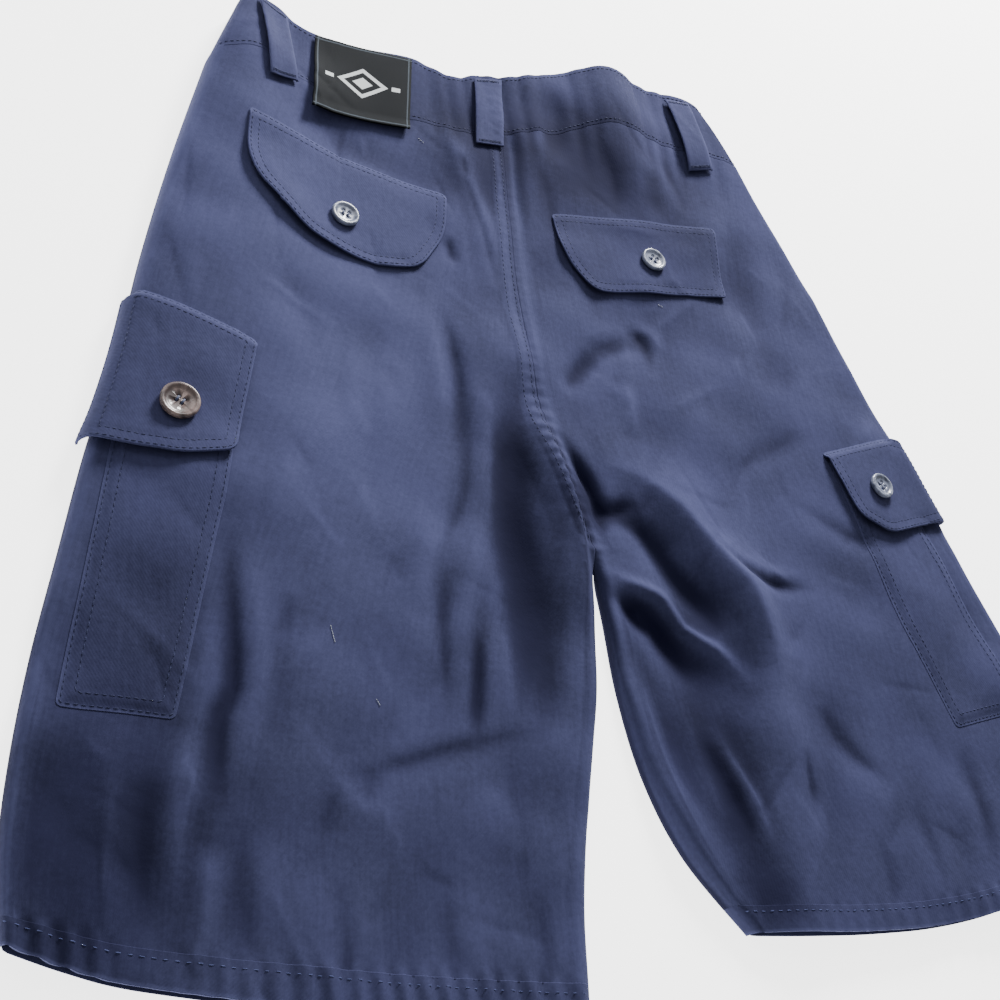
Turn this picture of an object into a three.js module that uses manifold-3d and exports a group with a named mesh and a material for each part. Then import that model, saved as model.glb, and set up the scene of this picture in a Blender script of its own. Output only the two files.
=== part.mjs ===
// Boys' cargo shorts in cotton twill, laid flat with the back side up.
// Millimetres, +Z up. Seen from above, x runs to the right and y towards the waist.
// The plan is drawn from the middle of the back waist; the group is then moved so that
// its origin is the middle of the bounding box, on the surface that the shorts lie on.

import * as THREE from 'three';
import Module from 'manifold-3d';
import { mergeVertices } from 'three/addons/utils/BufferGeometryUtils.js';

const wasm = await Module();
wasm.setup();

// Driving dimensions
const CLOTH = 1.2;             // wall of one layer of twill
const SEAM_GAP = 0.3;          // between pieces that are sewn together
const BAND_WIDTH = 42;         // waistband, top edge to seam
const BAND_WALL = 2.0;         // waistband, with its elastic
const BAND_STEP = 0.5;         // how far the waistband stands above the panels
const BAND_OVERLAP = 5;        // front waistband over the top of the front panels
const HEM_SHARE = 0.04;        // share of the leg's length that is turned up as the hem
const HEM_WALL = 1.8;
const HEM_STEP = 0.4;
const SIDE_ROUND = 9;          // how far in from its side the cloth starts to turn down
const REST_HEIGHT = 6.0;       // top of the back cloth where nothing lifts it
const LOW_HEIGHT = 3.4;        // lowest the back cloth can lie over the front cloth
const LOW_HEIGHT_BAND = 6.0;   // the same over the front waistband
const CROTCH = 0.5;            // share of the leg's length at the crotch
const CROTCH_EASE = 0.07;      // share over which the inseam turns down below the crotch
const LEG_LENGTH = 460;        // waistband seam to hem, where a length is needed as a share of it
const POCKET_WALL = 1.8;
const FLAP_WALL = 1.5;
const LOOP = { wall: 1.6, arch: 1.6, reach: 2.5 };
const LABEL = { wall: 0.9, arch: 0, reach: 4 };

const COLOURS = {
  twill: 0x525f86, twillLight: 0x5c6a90, band: 0x353d56,
  label: 0x3b4440, button: 0x8b93a2, horn: 0x7b7070,
};
const BUTTON = { radius: 7.5, height: 2.6, colour: COLOURS.button };
const CARGO_BUTTON = { radius: 9, height: 3.0, colour: COLOURS.horn };
const WAIST_BUTTON = { radius: 8, height: CLOTH, colour: COLOURS.button };

// Small tools

function table(columns, rows) {
  return rows.map((row) => Object.fromEntries(columns.map((name, i) => [name, row[i]])));
}

function path(points) {
  return new THREE.SplineCurve(points.map(([x, y]) => new THREE.Vector2(x, y)));
}

function smooth(from, to, value) {
  return THREE.MathUtils.smoothstep(value, from, to);
}

function between(a, b, share) {
  return a + (b - a) * share;
}

function samples(curve, count) {
  return Array.from({ length: count + 1 }, (_, i) => curve(i / count));
}

function cloth(colour) {
  return new THREE.MeshStandardMaterial({ color: colour, roughness: 0.85, metalness: 0 });
}

// Outline: the waist, the centre back seam, and the two sides of each leg, from the waist down

const WAIST_TOP = path([
  [-154, 3], [-141, 5], [-124, -3], [-113, -6], [-90, -7], [-54, -6], [-29, -12], [-13, -7],
  [10, -3], [37, 6], [51, 12], [68, 16], [84, 17], [99, 15], [116, 15], [134, 14], [148, 7],
]);
const WAIST_SEAM_LEFT = [
  [-172, -41], [-146, -38], [-122, -46], [-90, -52], [-52, -52], [-29, -54], [-3, -49],
];
const WAIST_SEAM_RIGHT = [[-3, -49], [37, -37], [68, -28], [99, -30], [134, -30], [165, -36]];
const CENTRE_BACK = path([
  [-3, -49], [-7, -100], [-11, -150], [-13, -200], [-12, -240], [-6, -270], [4, -312],
]);

const LEG_SIDES = {
  left: {
    outer: path([
      [-172, -41], [-191, -105], [-208, -170], [-221, -229], [-235, -281], [-246, -329],
      [-256, -373], [-263, -413], [-267, -450], [-267, -483],
    ]),
    inseam: path([[4, -312], [0, -345], [-8, -388], [-21, -435], [-32, -478], [-39, -530]]),
    hem: [[-267, -483], [-243, -493], [-217, -501], [-160, -512], [-100, -522], [-39, -530]],
  },
  right: {
    outer: path([
      [165, -36], [186, -92], [205, -162], [223, -221], [240, -275], [253, -323],
      [266, -365], [275, -405], [281, -438], [284, -466],
    ]),
    inseam: path([[4, -312], [5, -345], [5, -385], [10, -425], [23, -461], [48, -496]]),
    hem: [[48, -496], [85, -498], [121, -499], [158, -498], [197, -493], [240, -482], [284, -466]],
  },
};

// Form of the back cloth: long soft rises, then the folds of each half, which stand above or
// below the rest

const FOLD_COLUMNS = ['where', 'path', 'width', 'rise'];
const RISES = table(FOLD_COLUMNS, [
  ['left waist corner', [[-146, 50], [-150, -20], [-160, -110]], 26, 10],
  ['right waist gape', [[70, 60], [74, 0], [88, -110]], 26, 13],
  ['right of the centre loop', [[20, 40], [24, -90]], 20, 3],
  ['right waist corner', [[140, 50], [160, -90]], 20, 3],
  ['seat beside the centre seam', [[-20, -150], [-40, -330]], 30, 3],
]);
const LEFT_FOLDS = table(FOLD_COLUMNS, [
  ['under the label', [[-135, -66], [-82, -89], [-36, -108]], 14, -3],
  ['ridge left of the centre seam', [[-39, -44], [-29, -110], [-26, -170]], 7, 3],
  ['beside that ridge', [[-51, -58], [-40, -90], [-35, -130]], 7, -3],
  ['along the top of the centre seam', [[9, 10], [4, -72], [-2, -130]], 8, -4],
  ['right end of the flap', [[-48, -100], [-52, -143], [-50, -176]], 8, -3],
  ['ridge from seat to thigh', [[-62, -170], [-63, -237], [-71, -312]], 10, 4],
  ['left of that ridge', [[-72, -188], [-77, -239], [-86, -290]], 9, -3],
  ['right of that ridge', [[-52, -226], [-61, -292], [-70, -332]], 8, -3],
  ['valley beside the inseam', [[-17, -215], [-36, -295], [-34, -400]], 12, -6],
  ['edge of the inseam', [[-16, -220], [-10, -298], [-12, -380]], 8, 5],
  ['thigh, upper ridge', [[-72, -298], [-96, -352]], 9, 3],
  ['thigh, lower ridge', [[-55, -308], [-81, -380]], 9, 3],
  ['sharp crease, right', [[-66, -356], [-75, -414]], 4, -3],
  ['sharp crease, left', [[-78, -344], [-86, -384]], 4, -2],
  ['across above the hem', [[-110, -420], [-64, -408], [-8, -402]], 7, -3],
  ['below the thigh', [[-112, -412], [-142, -439], [-163, -480]], 8, -3],
  ['right of the cargo pocket', [[-173, -318], [-181, -390], [-189, -444]], 6, -3],
  ['below the pocket, outer', [[-232, -396], [-240, -434], [-244, -490]], 8, -3],
  ['below the pocket, ridge', [[-225, -403], [-230, -470]], 7, 2],
  ['below the pocket, inner', [[-213, -420], [-216, -464], [-213, -512]], 8, -3],
  ['ridge at the hem', [[-195, -446], [-196, -500]], 8, 2],
  ['inseam above the hem', [[-36, -412], [-46, -470]], 8, -3],
]);
const RIGHT_FOLDS = table(FOLD_COLUMNS, [
  ['dip in the waistband', [[38, 0], [30, -66]], 8, -5],
  ['above the flap', [[93, -50], [90, -94]], 8, -2],
  ['beside the flap', [[146, -80], [143, -145], [149, -206]], 14, -4],
  ['arc on the seat', [[4, -222], [31, -193], [70, -179]], 6, -2],
  ['end of the arc', [[60, -174], [60, -210]], 5, -3],
  ['hollow beside the centre seam', [[26, -216], [13, -254]], 8, -3],
  ['thin ridge beside it', [[38, -208], [43, -252]], 5, 2],
  ['across the thigh to the side', [[92, -264], [132, -240], [172, -202]], 9, -3],
  ['great ridge, crotch to hem', [[12, -262], [66, -306], [86, -368], [78, -450], [66, -590]], 20, 12],
  ['valley inside it', [[6, -290], [42, -319], [68, -362]], 9, -7],
  ['second ridge', [[-4, -325], [37, -338], [64, -368], [82, -408]], 6, 6],
  ['valley below it', [[2, -338], [32, -352], [53, -396]], 12, -4],
  ['spike down to the hem', [[51, -376], [58, -433], [61, -478]], 6, -5],
  ['ridge by the inseam', [[12, -375], [22, -433], [36, -480]], 10, 3],
  ['crease off the great ridge', [[64, -302], [92, -323], [134, -330]], 6, -4],
  ['towards the cargo pocket', [[114, -280], [157, -299], [206, -306]], 8, -2],
  ['shin, outer', [[108, -376], [132, -414], [148, -450]], 9, -3],
  ['shin, inner', [[96, -414], [96, -460]], 4, -2],
  ['below the cargo pocket', [[199, -400], [203, -460]], 8, -3],
]);

// Gathers of the elastic, dying out below the waistband
const GATHERS = table(['x', 'width', 'depth'], [
  [-138, 5, 0.9], [-124, 4, 0.7], [-44, 4, 1.0], [-33, 3, 0.8], [-22, 3, 1.2],
  [-9, 3, 0.9], [2, 3, 1.2], [14, 3, 1.0], [27, 4, 0.8], [49, 4, 0.9],
  [60, 4, 0.6], [96, 4, 0.9], [108, 4, 1.1], [119, 3, 0.8], [146, 4, 0.8],
]);
const GATHER_REACH = 75;
const FOLD_SAMPLES = 14;
const END_FADE = 0.28;         // share of a fold's length over which each end dies out

const CREASES = [...RISES, ...LEFT_FOLDS, ...RIGHT_FOLDS].map((fold) => (
  { ...fold, points: path(fold.path).getPoints(FOLD_SAMPLES) }
));

// Nearest point of a fold's line: how far it is, and how far along the line it lies
function nearest(points, x, y) {
  let best = { distance: Infinity, along: 0 };
  for (let i = 0; i + 1 < points.length; i++) {
    const a = points[i];
    const b = points[i + 1];
    const length = (b.x - a.x) ** 2 + (b.y - a.y) ** 2;
    const t = THREE.MathUtils.clamp(((x - a.x) * (b.x - a.x) + (y - a.y) * (b.y - a.y)) / length, 0, 1);
    const distance = Math.hypot(x - between(a.x, b.x, t), y - between(a.y, b.y, t));
    if (distance < best.distance) {
      best = { distance, along: (i + t) / (points.length - 1) };
    }
  }
  return best;
}

function foldHeight(fold, x, y) {
  const { distance, along } = nearest(fold.points, x, y);
  const fade = smooth(0, END_FADE, along) * smooth(0, END_FADE, 1 - along);
  return fold.rise * fade * Math.exp(-((distance / fold.width) ** 2));
}

function gatherHeight(x, y) {
  const fade = 1 - smooth(BAND_WIDTH, GATHER_REACH, -y);
  return -fade * GATHERS.reduce((sum, g) => sum + g.depth * Math.exp(-(((x - g.x) / g.width) ** 2)), 0);
}

// Height of the back cloth over the surface, away from its sides. It settles softly on what
// lies under it, which is higher over the front waistband.
const FRONT_BAND_ZONE = { below: -70, above: -50 };
const SETTLING = 1.2;

function clothHeight(x, y) {
  const overBand = smooth(FRONT_BAND_ZONE.below, FRONT_BAND_ZONE.above, y);
  const lowest = between(LOW_HEIGHT, LOW_HEIGHT_BAND, overBand);
  const free = CREASES.reduce((sum, fold) => sum + foldHeight(fold, x, y), REST_HEIGHT) + gatherHeight(x, y);
  return lowest + SETTLING * Math.log1p(Math.exp((free - lowest) / SETTLING));
}

// Quarter ellipse by which the cloth turns down at its side
function turnDown(distance, open) {
  const t = THREE.MathUtils.clamp(distance / SIDE_ROUND, 0, 1);
  return 1 - open * (1 - Math.sqrt(1 - (1 - t) ** 2));
}

// A leg of the back: four edges, and how far its two sides turn down at each height

function makeLeg(side) {
  const { outer, inseam, hem } = LEG_SIDES[side];
  const halfGap = (side === 'left' ? -1 : 1) * SEAM_GAP / 2;
  const inner = (v) => {
    const p = v < CROTCH ? CENTRE_BACK.getPoint(v / CROTCH) : inseam.getPoint((v - CROTCH) / (1 - CROTCH));
    return new THREE.Vector2(p.x + halfGap, p.y);
  };
  const innerOpen = (v) => smooth(CROTCH, CROTCH + CROTCH_EASE, v);
  const outside = { at: (v) => outer.getPoint(v), open: () => 1 };
  const inside = { at: inner, open: innerOpen };
  const seam = path(side === 'left' ? WAIST_SEAM_LEFT : WAIST_SEAM_RIGHT);
  return {
    side, top: seam, hem: path(hem),
    west: side === 'left' ? outside : inside,
    east: side === 'left' ? inside : outside,
  };
}

// Plan of the leg: a patch between its four edges, u from west to east, v from waist to hem
function legPlan(leg, u, v) {
  const west = leg.west.at(v);
  const east = leg.east.at(v);
  const top = leg.top.getPoint(u);
  const hem = leg.hem.getPoint(u);
  const topLine = leg.west.at(0).lerp(leg.east.at(0), u);
  const hemLine = leg.west.at(1).lerp(leg.east.at(1), u);
  return west.lerp(east, u).add(top.lerp(hem, v)).sub(topLine.lerp(hemLine, v));
}

// Puckers that the hem's stitching draws up, growing from its seam to its edge. Their spacing
// wanders by a slow wave.
const HEM_PUCKERS = { pitch: 9.5, depth: 0.8, wander: 1.3, wanderLength: 17 };

function puckerHeight(x, v) {
  const { pitch, depth, wander, wanderLength } = HEM_PUCKERS;
  const wave = Math.sin((2 * Math.PI * x) / pitch + wander * Math.sin(x / wanderLength));
  return depth * wave * smooth(1 - HEM_SHARE, 1, v);
}

// Shares of a row's length at which its points lie: close together where the sides turn down
const SIDE_STEPS = [0, 0.9, 2.4, 4.6, 7.5, 12];

function columnsFor(width, count) {
  const side = SIDE_STEPS.map((step) => step / width);
  const middle = [];
  for (let i = 1; i < count; i++) {
    middle.push(between(side.at(-1), 1 - side.at(-1), i / count));
  }
  return [...side, ...middle, ...side.map((share) => 1 - share).reverse()];
}

function legPoint(leg, u, v, step) {
  const plan = legPlan(leg, u, v);
  const width = leg.west.at(v).distanceTo(leg.east.at(v));
  const fall = turnDown(u * width, leg.west.open(v)) * turnDown((1 - u) * width, leg.east.open(v));
  const height = clothHeight(plan.x, plan.y) + puckerHeight(plan.x, v) + step;
  return new THREE.Vector3(plan.x, plan.y, Math.max(height * fall, 0));
}

// Rows of points over a leg, from one height of the leg to another
function legRows(leg, from, to, rowCount, columnCount, step = 0) {
  const rows = [];
  for (let j = 0; j <= rowCount; j++) {
    const v = between(from, to, j / rowCount);
    const width = leg.west.at(v).distanceTo(leg.east.at(v));
    rows.push({
      points: columnsFor(width, columnCount).map((u) => legPoint(leg, u, v, step)),
      westOpen: leg.west.open(v),
      eastOpen: leg.east.open(v),
    });
  }
  return rows;
}

// Direction out of the cloth at each point of the rows
function addNormals(rows) {
  rows.forEach((row, j) => {
    row.normals = row.points.map((point, i) => {
      const above = rows[Math.max(j - 1, 0)].points[i];
      const below = rows[Math.min(j + 1, rows.length - 1)].points[i];
      const west = row.points[Math.max(i - 1, 0)];
      const east = row.points[Math.min(i + 1, row.points.length - 1)];
      return below.clone().sub(above).cross(east.clone().sub(west)).normalize();
    });
  });
  return rows;
}

// The way through the wall at a point: straight down at a seam, level at a side that lies on
// the surface, and square to the cloth everywhere else
function inward(rows, i, j, free) {
  const row = rows[j];
  const last = row.points.length - 1;
  const way = row.normals[i].clone().negate();
  if (free) {
    return way;
  }
  if (i === 0 || i === last) {
    const open = i === 0 ? row.westOpen : row.eastOpen;
    const level = new THREE.Vector3(i === 0 ? 1 : -1, 0, 0);
    return level.multiplyScalar(open).add(new THREE.Vector3(0, 0, open - 1)).normalize();
  }
  if (j === 0 || j === rows.length - 1) {
    way.y = 0;
    way.normalize();
  }
  return way;
}

// Closed wall over rows of points: its two faces lie at two distances out from the rows
function wall(rows, near, far, free = false) {
  const width = rows[0].points.length;
  const height = rows.length;
  const layers = [far, near].map((distance) => rows.flatMap((row, j) => row.points.map((point, i) => {
    const moved = point.clone().addScaledVector(inward(rows, i, j, free), -distance);
    moved.z = Math.max(moved.z, free ? SEAM_GAP : 0);
    return moved;
  })));
  const at = (layer, i, j) => layer * width * height + j * width + i;
  const faces = [];
  const quad = (a, b, c, d) => faces.push(a, b, c, a, c, d);
  const level = (i, j) => rows[j].points[i].z;
  for (let j = 0; j + 1 < height; j++) {
    for (let i = 0; i + 1 < width; i++) {
      const outer = [at(0, i, j), at(0, i, j + 1), at(0, i + 1, j + 1), at(0, i + 1, j)];
      const inner = [at(1, i, j), at(1, i, j + 1), at(1, i + 1, j + 1), at(1, i + 1, j)];
      // The diagonal follows the fold: it joins the two corners that lie nearer in height
      if (Math.abs(level(i, j) - level(i + 1, j + 1)) > Math.abs(level(i + 1, j) - level(i, j + 1))) {
        outer.push(outer.shift());
        inner.push(inner.shift());
      }
      quad(...outer);
      quad(inner[0], inner[3], inner[2], inner[1]);
    }
    quad(at(0, 0, j), at(1, 0, j), at(1, 0, j + 1), at(0, 0, j + 1));
    quad(at(0, width - 1, j), at(0, width - 1, j + 1), at(1, width - 1, j + 1), at(1, width - 1, j));
  }
  for (let i = 0; i + 1 < width; i++) {
    quad(at(0, i, 0), at(0, i + 1, 0), at(1, i + 1, 0), at(1, i, 0));
    quad(at(0, i, height - 1), at(1, i, height - 1), at(1, i + 1, height - 1), at(0, i + 1, height - 1));
  }
  return geometryFrom(layers.flat().flatMap((p) => [p.x, p.y, p.z]), faces);
}

function geometryFrom(positions, faces) {
  const geometry = new THREE.BufferGeometry();
  geometry.setAttribute('position', new THREE.Float32BufferAttribute(positions, 3));
  geometry.setIndex(faces);
  return geometry;
}

// Joins and cuts

const MERGE_DISTANCE = 1e-4;
const CUTTER = { bottom: -10, top: 80 };
const CORNER_STEPS = 4;        // points along each rounded corner
const MARGIN_ROWS = 2;         // rows of a panel kept beyond a piece that is cut from its points

function toSolid(geometry) {
  const bare = geometry.clone();
  bare.deleteAttribute('normal');
  bare.deleteAttribute('uv');
  const merged = mergeVertices(bare, MERGE_DISTANCE);
  const source = new wasm.Mesh({
    numProp: 3,
    vertProperties: new Float32Array(merged.attributes.position.array),
    triVerts: new Uint32Array(merged.index.array),
  });
  return new wasm.Manifold(source);
}

function fromSolid(solid) {
  const mesh = solid.getMesh();
  return geometryFrom(Array.from(mesh.vertProperties), Array.from(mesh.triVerts));
}

// Flat plate with the outline of a closed curve in plan
function plate(outline, bottom, top) {
  const shape = new THREE.Shape(outline);
  const geometry = new THREE.ExtrudeGeometry(shape, { depth: top - bottom, bevelEnabled: false });
  return geometry.translate(0, 0, bottom);
}

// Upright cutter through everything inside an outline
function cutter(outline) {
  return toSolid(plate(outline, CUTTER.bottom, CUTTER.top));
}

// Closed outline through corners, each rounded by its radius
function roundedOutline(corners) {
  const shape = new THREE.Path();
  corners.forEach(([x, y, radius], i) => {
    const here = new THREE.Vector2(x, y);
    const before = corners[(i + corners.length - 1) % corners.length];
    const after = corners[(i + 1) % corners.length];
    const toward = (other) => new THREE.Vector2(other[0], other[1]).sub(here).setLength(radius).add(here);
    const start = toward(before);
    const end = toward(after);
    if (i === 0) {
      shape.moveTo(start.x, start.y);
    } else {
      shape.lineTo(start.x, start.y);
    }
    shape.quadraticCurveTo(here.x, here.y, end.x, end.y);
  });
  return shape.getPoints(CORNER_STEPS);
}

// What lies on a panel: the panel's own points, moved out, cut to the piece's outline
function layOn(rows, corners, near, far) {
  const xs = corners.map((corner) => corner[0]);
  const ys = corners.map((corner) => corner[1]);
  const rowInside = (row) => row.points.some((p) => p.y > Math.min(...ys) && p.y < Math.max(...ys)
    && p.x > Math.min(...xs) && p.x < Math.max(...xs));
  const used = rows.map((row, j) => (rowInside(row) ? j : -1)).filter((j) => j >= 0);
  const first = Math.max(used[0] - MARGIN_ROWS, 0);
  const part = rows.slice(first, used.at(-1) + 1 + MARGIN_ROWS);
  const slab = toSolid(wall(part, near, far, true));
  return fromSolid(slab.intersect(cutter(roundedOutline(corners))));
}

// Back panels and hems

const LEG_ROWS = 30;
const LEG_COLUMNS = 15;
const HEM_ROWS = 2;
const HEM_COLUMNS = 66;
const HEM_SEAM = 1 - HEM_SHARE;
const HEM_GAP_SHARE = SEAM_GAP / LEG_LENGTH / 2;
const legs = [makeLeg('left'), makeLeg('right')];
const group = new THREE.Group();
const meshes = {};

function add(name, geometry, material) {
  const mesh = new THREE.Mesh(geometry, material);
  mesh.name = name;
  meshes[name] = mesh;
  group.add(mesh);
  return mesh;
}

for (const leg of legs) {
  leg.rows = addNormals(legRows(leg, 0, HEM_SEAM - HEM_GAP_SHARE, LEG_ROWS, LEG_COLUMNS));
  add(`back_${leg.side}_panel`, wall(leg.rows, -CLOTH, 0), cloth(COLOURS.twill));
  const hemRows = addNormals(legRows(leg, HEM_SEAM + HEM_GAP_SHARE, 1, HEM_ROWS, HEM_COLUMNS, HEM_STEP));
  add(`back_${leg.side}_hem`, wall(hemRows, -HEM_WALL, 0), cloth(COLOURS.twill));
}

// Waistband of the back: one strip from side to side, gathered by its elastic

const BAND_ROWS = 4;
const BAND_COLUMNS = 46;
const BAND_LENGTH = 320;

// Plan of the waistband: share of its length from west to east, share of its width from the top
function bandPlan(along, down) {
  const top = WAIST_TOP.getPoint(along);
  const seam = along < 0.5 ? legs[0].top.getPoint(along * 2) : legs[1].top.getPoint(along * 2 - 1);
  return new THREE.Vector2(between(top.x, seam.x, down), between(top.y, seam.y + SEAM_GAP, down));
}

function bandRows() {
  const rows = samples((down) => ({
    points: columnsFor(BAND_LENGTH, BAND_COLUMNS).map((along) => {
      const { x, y } = bandPlan(along, down);
      const fall = turnDown(along * BAND_LENGTH, 1) * turnDown((1 - along) * BAND_LENGTH, 1);
      return new THREE.Vector3(x, y, (clothHeight(x, y) + BAND_STEP) * fall);
    }),
    westOpen: 1,
    eastOpen: 1,
  }), BAND_ROWS);
  return addNormals(rows);
}

add('waistband_back', wall(bandRows(), -BAND_WALL, 0), cloth(COLOURS.band));

// Front: flat layers under the back ones

const FRONT_DROP = 10;         // the front waist is cut lower than the back
const FRONT_CLEARANCE = 0.5;   // between the front layer and the back cloth's turned-down side
const FRONT_SIDE_SHARE = 0.04; // how far in from its sides a cross edge of the front starts
const FRONT_STEPS = 8;         // steps along a cross edge
const FRONT_BAND = { bottom: CLOTH + SEAM_GAP, wall: 1.6, sideInset: 6, steps: 24 };
const FRONT_LOOP = { width: 16, length: 34, start: 0.9, places: [-78, 70] };
const FLY = { west: -42, east: 30, bottom: -205, round: 22 };

// Outline of a front layer from one height of the leg to another, inside the back cloth's sides
function frontOutline(leg, from, to, count, backWall) {
  const down = (edge, inset) => samples((t) => {
    const v = between(from, to, t);
    const point = edge.at(v);
    return new THREE.Vector2(point.x + inset * edge.open(v), point.y);
  }, count);
  const across = (v) => samples(
    (t) => legPlan(leg, between(FRONT_SIDE_SHARE, 1 - FRONT_SIDE_SHARE, t), v),
    FRONT_STEPS,
  );
  return [
    ...down(leg.west, backWall + FRONT_CLEARANCE), ...across(to),
    ...down(leg.east, -backWall - FRONT_CLEARANCE).reverse(), ...across(from).reverse(),
  ];
}

const frontTop = (FRONT_DROP - BAND_OVERLAP) / LEG_LENGTH;

// The fly placket runs down beside the centre front seam, with a rounded lower corner
function flyOutline(clearance) {
  const west = FLY.west - clearance;
  const bottom = FLY.bottom - clearance;
  return roundedOutline([[west, 0, 1], [west, bottom, FLY.round], [FLY.east, bottom, 1], [FLY.east, 0, 1]]);
}

for (const leg of legs) {
  const outline = frontOutline(leg, frontTop, HEM_SEAM - 2 * HEM_GAP_SHARE, LEG_ROWS, CLOTH);
  let panel = toSolid(plate(outline, 0, CLOTH));
  if (leg.side === 'left') {
    add('fly_placket', fromSolid(panel.intersect(cutter(flyOutline(0)))), cloth(COLOURS.twill));
    panel = panel.subtract(cutter(flyOutline(SEAM_GAP)));
  }
  add(`front_${leg.side}_panel`, fromSolid(panel), cloth(COLOURS.twill));
  const hem = frontOutline(leg, HEM_SEAM + 2 * HEM_GAP_SHARE, 1, HEM_ROWS, HEM_WALL);
  add(`front_${leg.side}_hem`, plate(hem, 0, CLOTH), cloth(COLOURS.twill));
}

const bandShare = FRONT_BAND.sideInset / BAND_LENGTH;
const bandEdge = (row) => samples((t) => {
  const point = bandPlan(between(bandShare, 1 - bandShare, t), row);
  return new THREE.Vector2(point.x, point.y - FRONT_DROP);
}, FRONT_BAND.steps);
const frontBand = plate(
  [...bandEdge(0), ...bandEdge(1).reverse()],
  FRONT_BAND.bottom, FRONT_BAND.bottom + FRONT_BAND.wall,
);
add('waistband_front', frontBand, cloth(COLOURS.band));

// Two belt loops on the front waistband, which lies on them
function rectangle(west, east, south, north) {
  const corners = [[west, south], [east, south], [east, north], [west, north]];
  return corners.map(([x, y]) => new THREE.Vector2(x, y));
}

FRONT_LOOP.places.forEach((x, i) => {
  const start = bandPlan(x / BAND_LENGTH + 0.5, FRONT_LOOP.start).y - FRONT_DROP;
  const outline = rectangle(x, x + FRONT_LOOP.width, start + BAND_OVERLAP, start + FRONT_LOOP.length);
  add(`belt_loop_front_${i + 1}`, plate(outline, 0, CLOTH), cloth(COLOURS.band));
});

// Pockets and flaps: each lies on its panel, and a cargo flap on its pocket bag.
// Corners are x, y and the radius that rounds them.

const ON_PANEL = SEAM_GAP;
const ON_POCKET = SEAM_GAP + POCKET_WALL + SEAM_GAP;
const LAID_PIECES = table(['name', 'leg', 'from', 'wall', 'corners'], [
  ['back_left_flap', 0, ON_PANEL, FLAP_WALL, [
    [-155, -80, 3], [-159, -116, 16], [-136, -145, 14], [-100, -161, 18],
    [-68, -158, 10], [-50, -132, 10], [-45, -103, 3],
  ]],
  ['back_right_flap', 1, ON_PANEL, FLAP_WALL, [
    [20, -101, 3], [20, -132, 12], [34, -154, 8], [127, -141, 3], [131, -90, 3],
  ]],
  ['cargo_left_pocket', 0, ON_PANEL, POCKET_WALL, [
    [-212, -210, 3], [-248, -396, 5], [-203, -402, 5], [-178, -303, 4], [-164, -228, 3],
  ]],
  ['cargo_right_pocket', 1, ON_PANEL, POCKET_WALL, [
    [166, -246, 3], [185, -347, 4], [202, -401, 5], [254, -390, 5], [224, -286, 4], [212, -236, 3],
  ]],
  ['cargo_left_flap', 0, ON_POCKET, FLAP_WALL, [
    [-222, -197, 2], [-248, -279, 2], [-197, -285, 6], [-173, -281, 6], [-159, -219, 2],
  ]],
  ['cargo_right_flap', 1, ON_POCKET, FLAP_WALL, [
    [163, -242, 2], [174, -283, 6], [193, -291, 6], [252, -276, 2], [234, -229, 2], [212, -227, 2],
  ]],
]);

for (const piece of LAID_PIECES) {
  const rows = legs[piece.leg].rows;
  const geometry = layOn(rows, piece.corners, piece.from, piece.from + piece.wall);
  add(piece.name, geometry, cloth(COLOURS.twillLight));
}

// Highest cloth over a place in plan, and the way it faces there
const ray = new THREE.Raycaster();
const DOWN = new THREE.Vector3(0, 0, -1);
const HIGH_ABOVE = 200;

function hitAt(targets, x, y) {
  ray.set(new THREE.Vector3(x, y, HIGH_ABOVE), DOWN);
  return ray.intersectObjects(targets, false)[0];
}

function highest(targets, x, y, reach) {
  const around = [[0, 0], [reach, 0], [-reach, 0], [0, reach], [0, -reach]];
  const hits = around.map(([dx, dy]) => hitAt(targets, x + dx, y + dy)).filter(Boolean);
  return Math.max(...hits.map((hit) => hit.point.z));
}

// Straight strip or patch that bridges the cloth under it: four corners in plan, its top edge
// first, and its form: its wall, how far its middle arches up, and how far round each point it
// clears the highest cloth
const BRIDGE_GAP = 0.4;
const ARCH_FULLNESS = 0.6;

function bridge(corners, steps, form) {
  const targets = [meshes.waistband_back, meshes.back_left_panel, meshes.back_right_panel];
  const [topWest, topEast, lowEast, lowWest] = corners;
  const rows = samples((v) => ({
    points: samples((u) => {
      const x = between(between(topWest[0], topEast[0], u), between(lowWest[0], lowEast[0], u), v);
      const y = between(between(topWest[1], topEast[1], u), between(lowWest[1], lowEast[1], u), v);
      const lift = form.arch * Math.sin(Math.PI * v) ** ARCH_FULLNESS;
      return new THREE.Vector3(x, y, highest(targets, x, y, form.reach) + BRIDGE_GAP + lift);
    }, steps.across),
    westOpen: 0,
    eastOpen: 0,
  }), steps.down);
  return wall(addNormals(rows), 0, form.wall);
}

const BELT_LOOPS = table(['name', 'corners'], [
  ['belt_loop_left', [[-144, 1], [-128, -6], [-126, -52], [-143, -55]]],
  ['belt_loop_centre', [[-15, -11], [3, -8], [-4, -60], [-22, -62]]],
  ['belt_loop_right', [[119, 9], [136, 9], [141, -44], [124, -47]]],
]);
for (const { name, corners } of BELT_LOOPS) {
  add(name, bridge(corners, { across: 4, down: 8 }, LOOP), cloth(COLOURS.band));
}

const LABEL_CORNERS = [[-111, -9], [-54, -9], [-62, -63], [-120, -67]];
add('label', bridge(LABEL_CORNERS, { across: 7, down: 7 }, LABEL), cloth(COLOURS.label));

// Sew-through buttons: a disc with a flat rim round a dish, and four holes. The section gives
// insets from the radius and heights from the foot or the top.

const BUTTON_SECTION = {
  foot: 1.2, bevel: 0.9, shoulder: 0.7, rimOuter: 0.8, rimInner: 2, dish: 2.9, depth: 1.1,
};
const BUTTON_HOLES = { count: 4, radius: 0.9, place: 1.9, segments: 6 };
const BUTTON_SEGMENTS = 20;
const SEAT_SAMPLES = 12;

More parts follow.
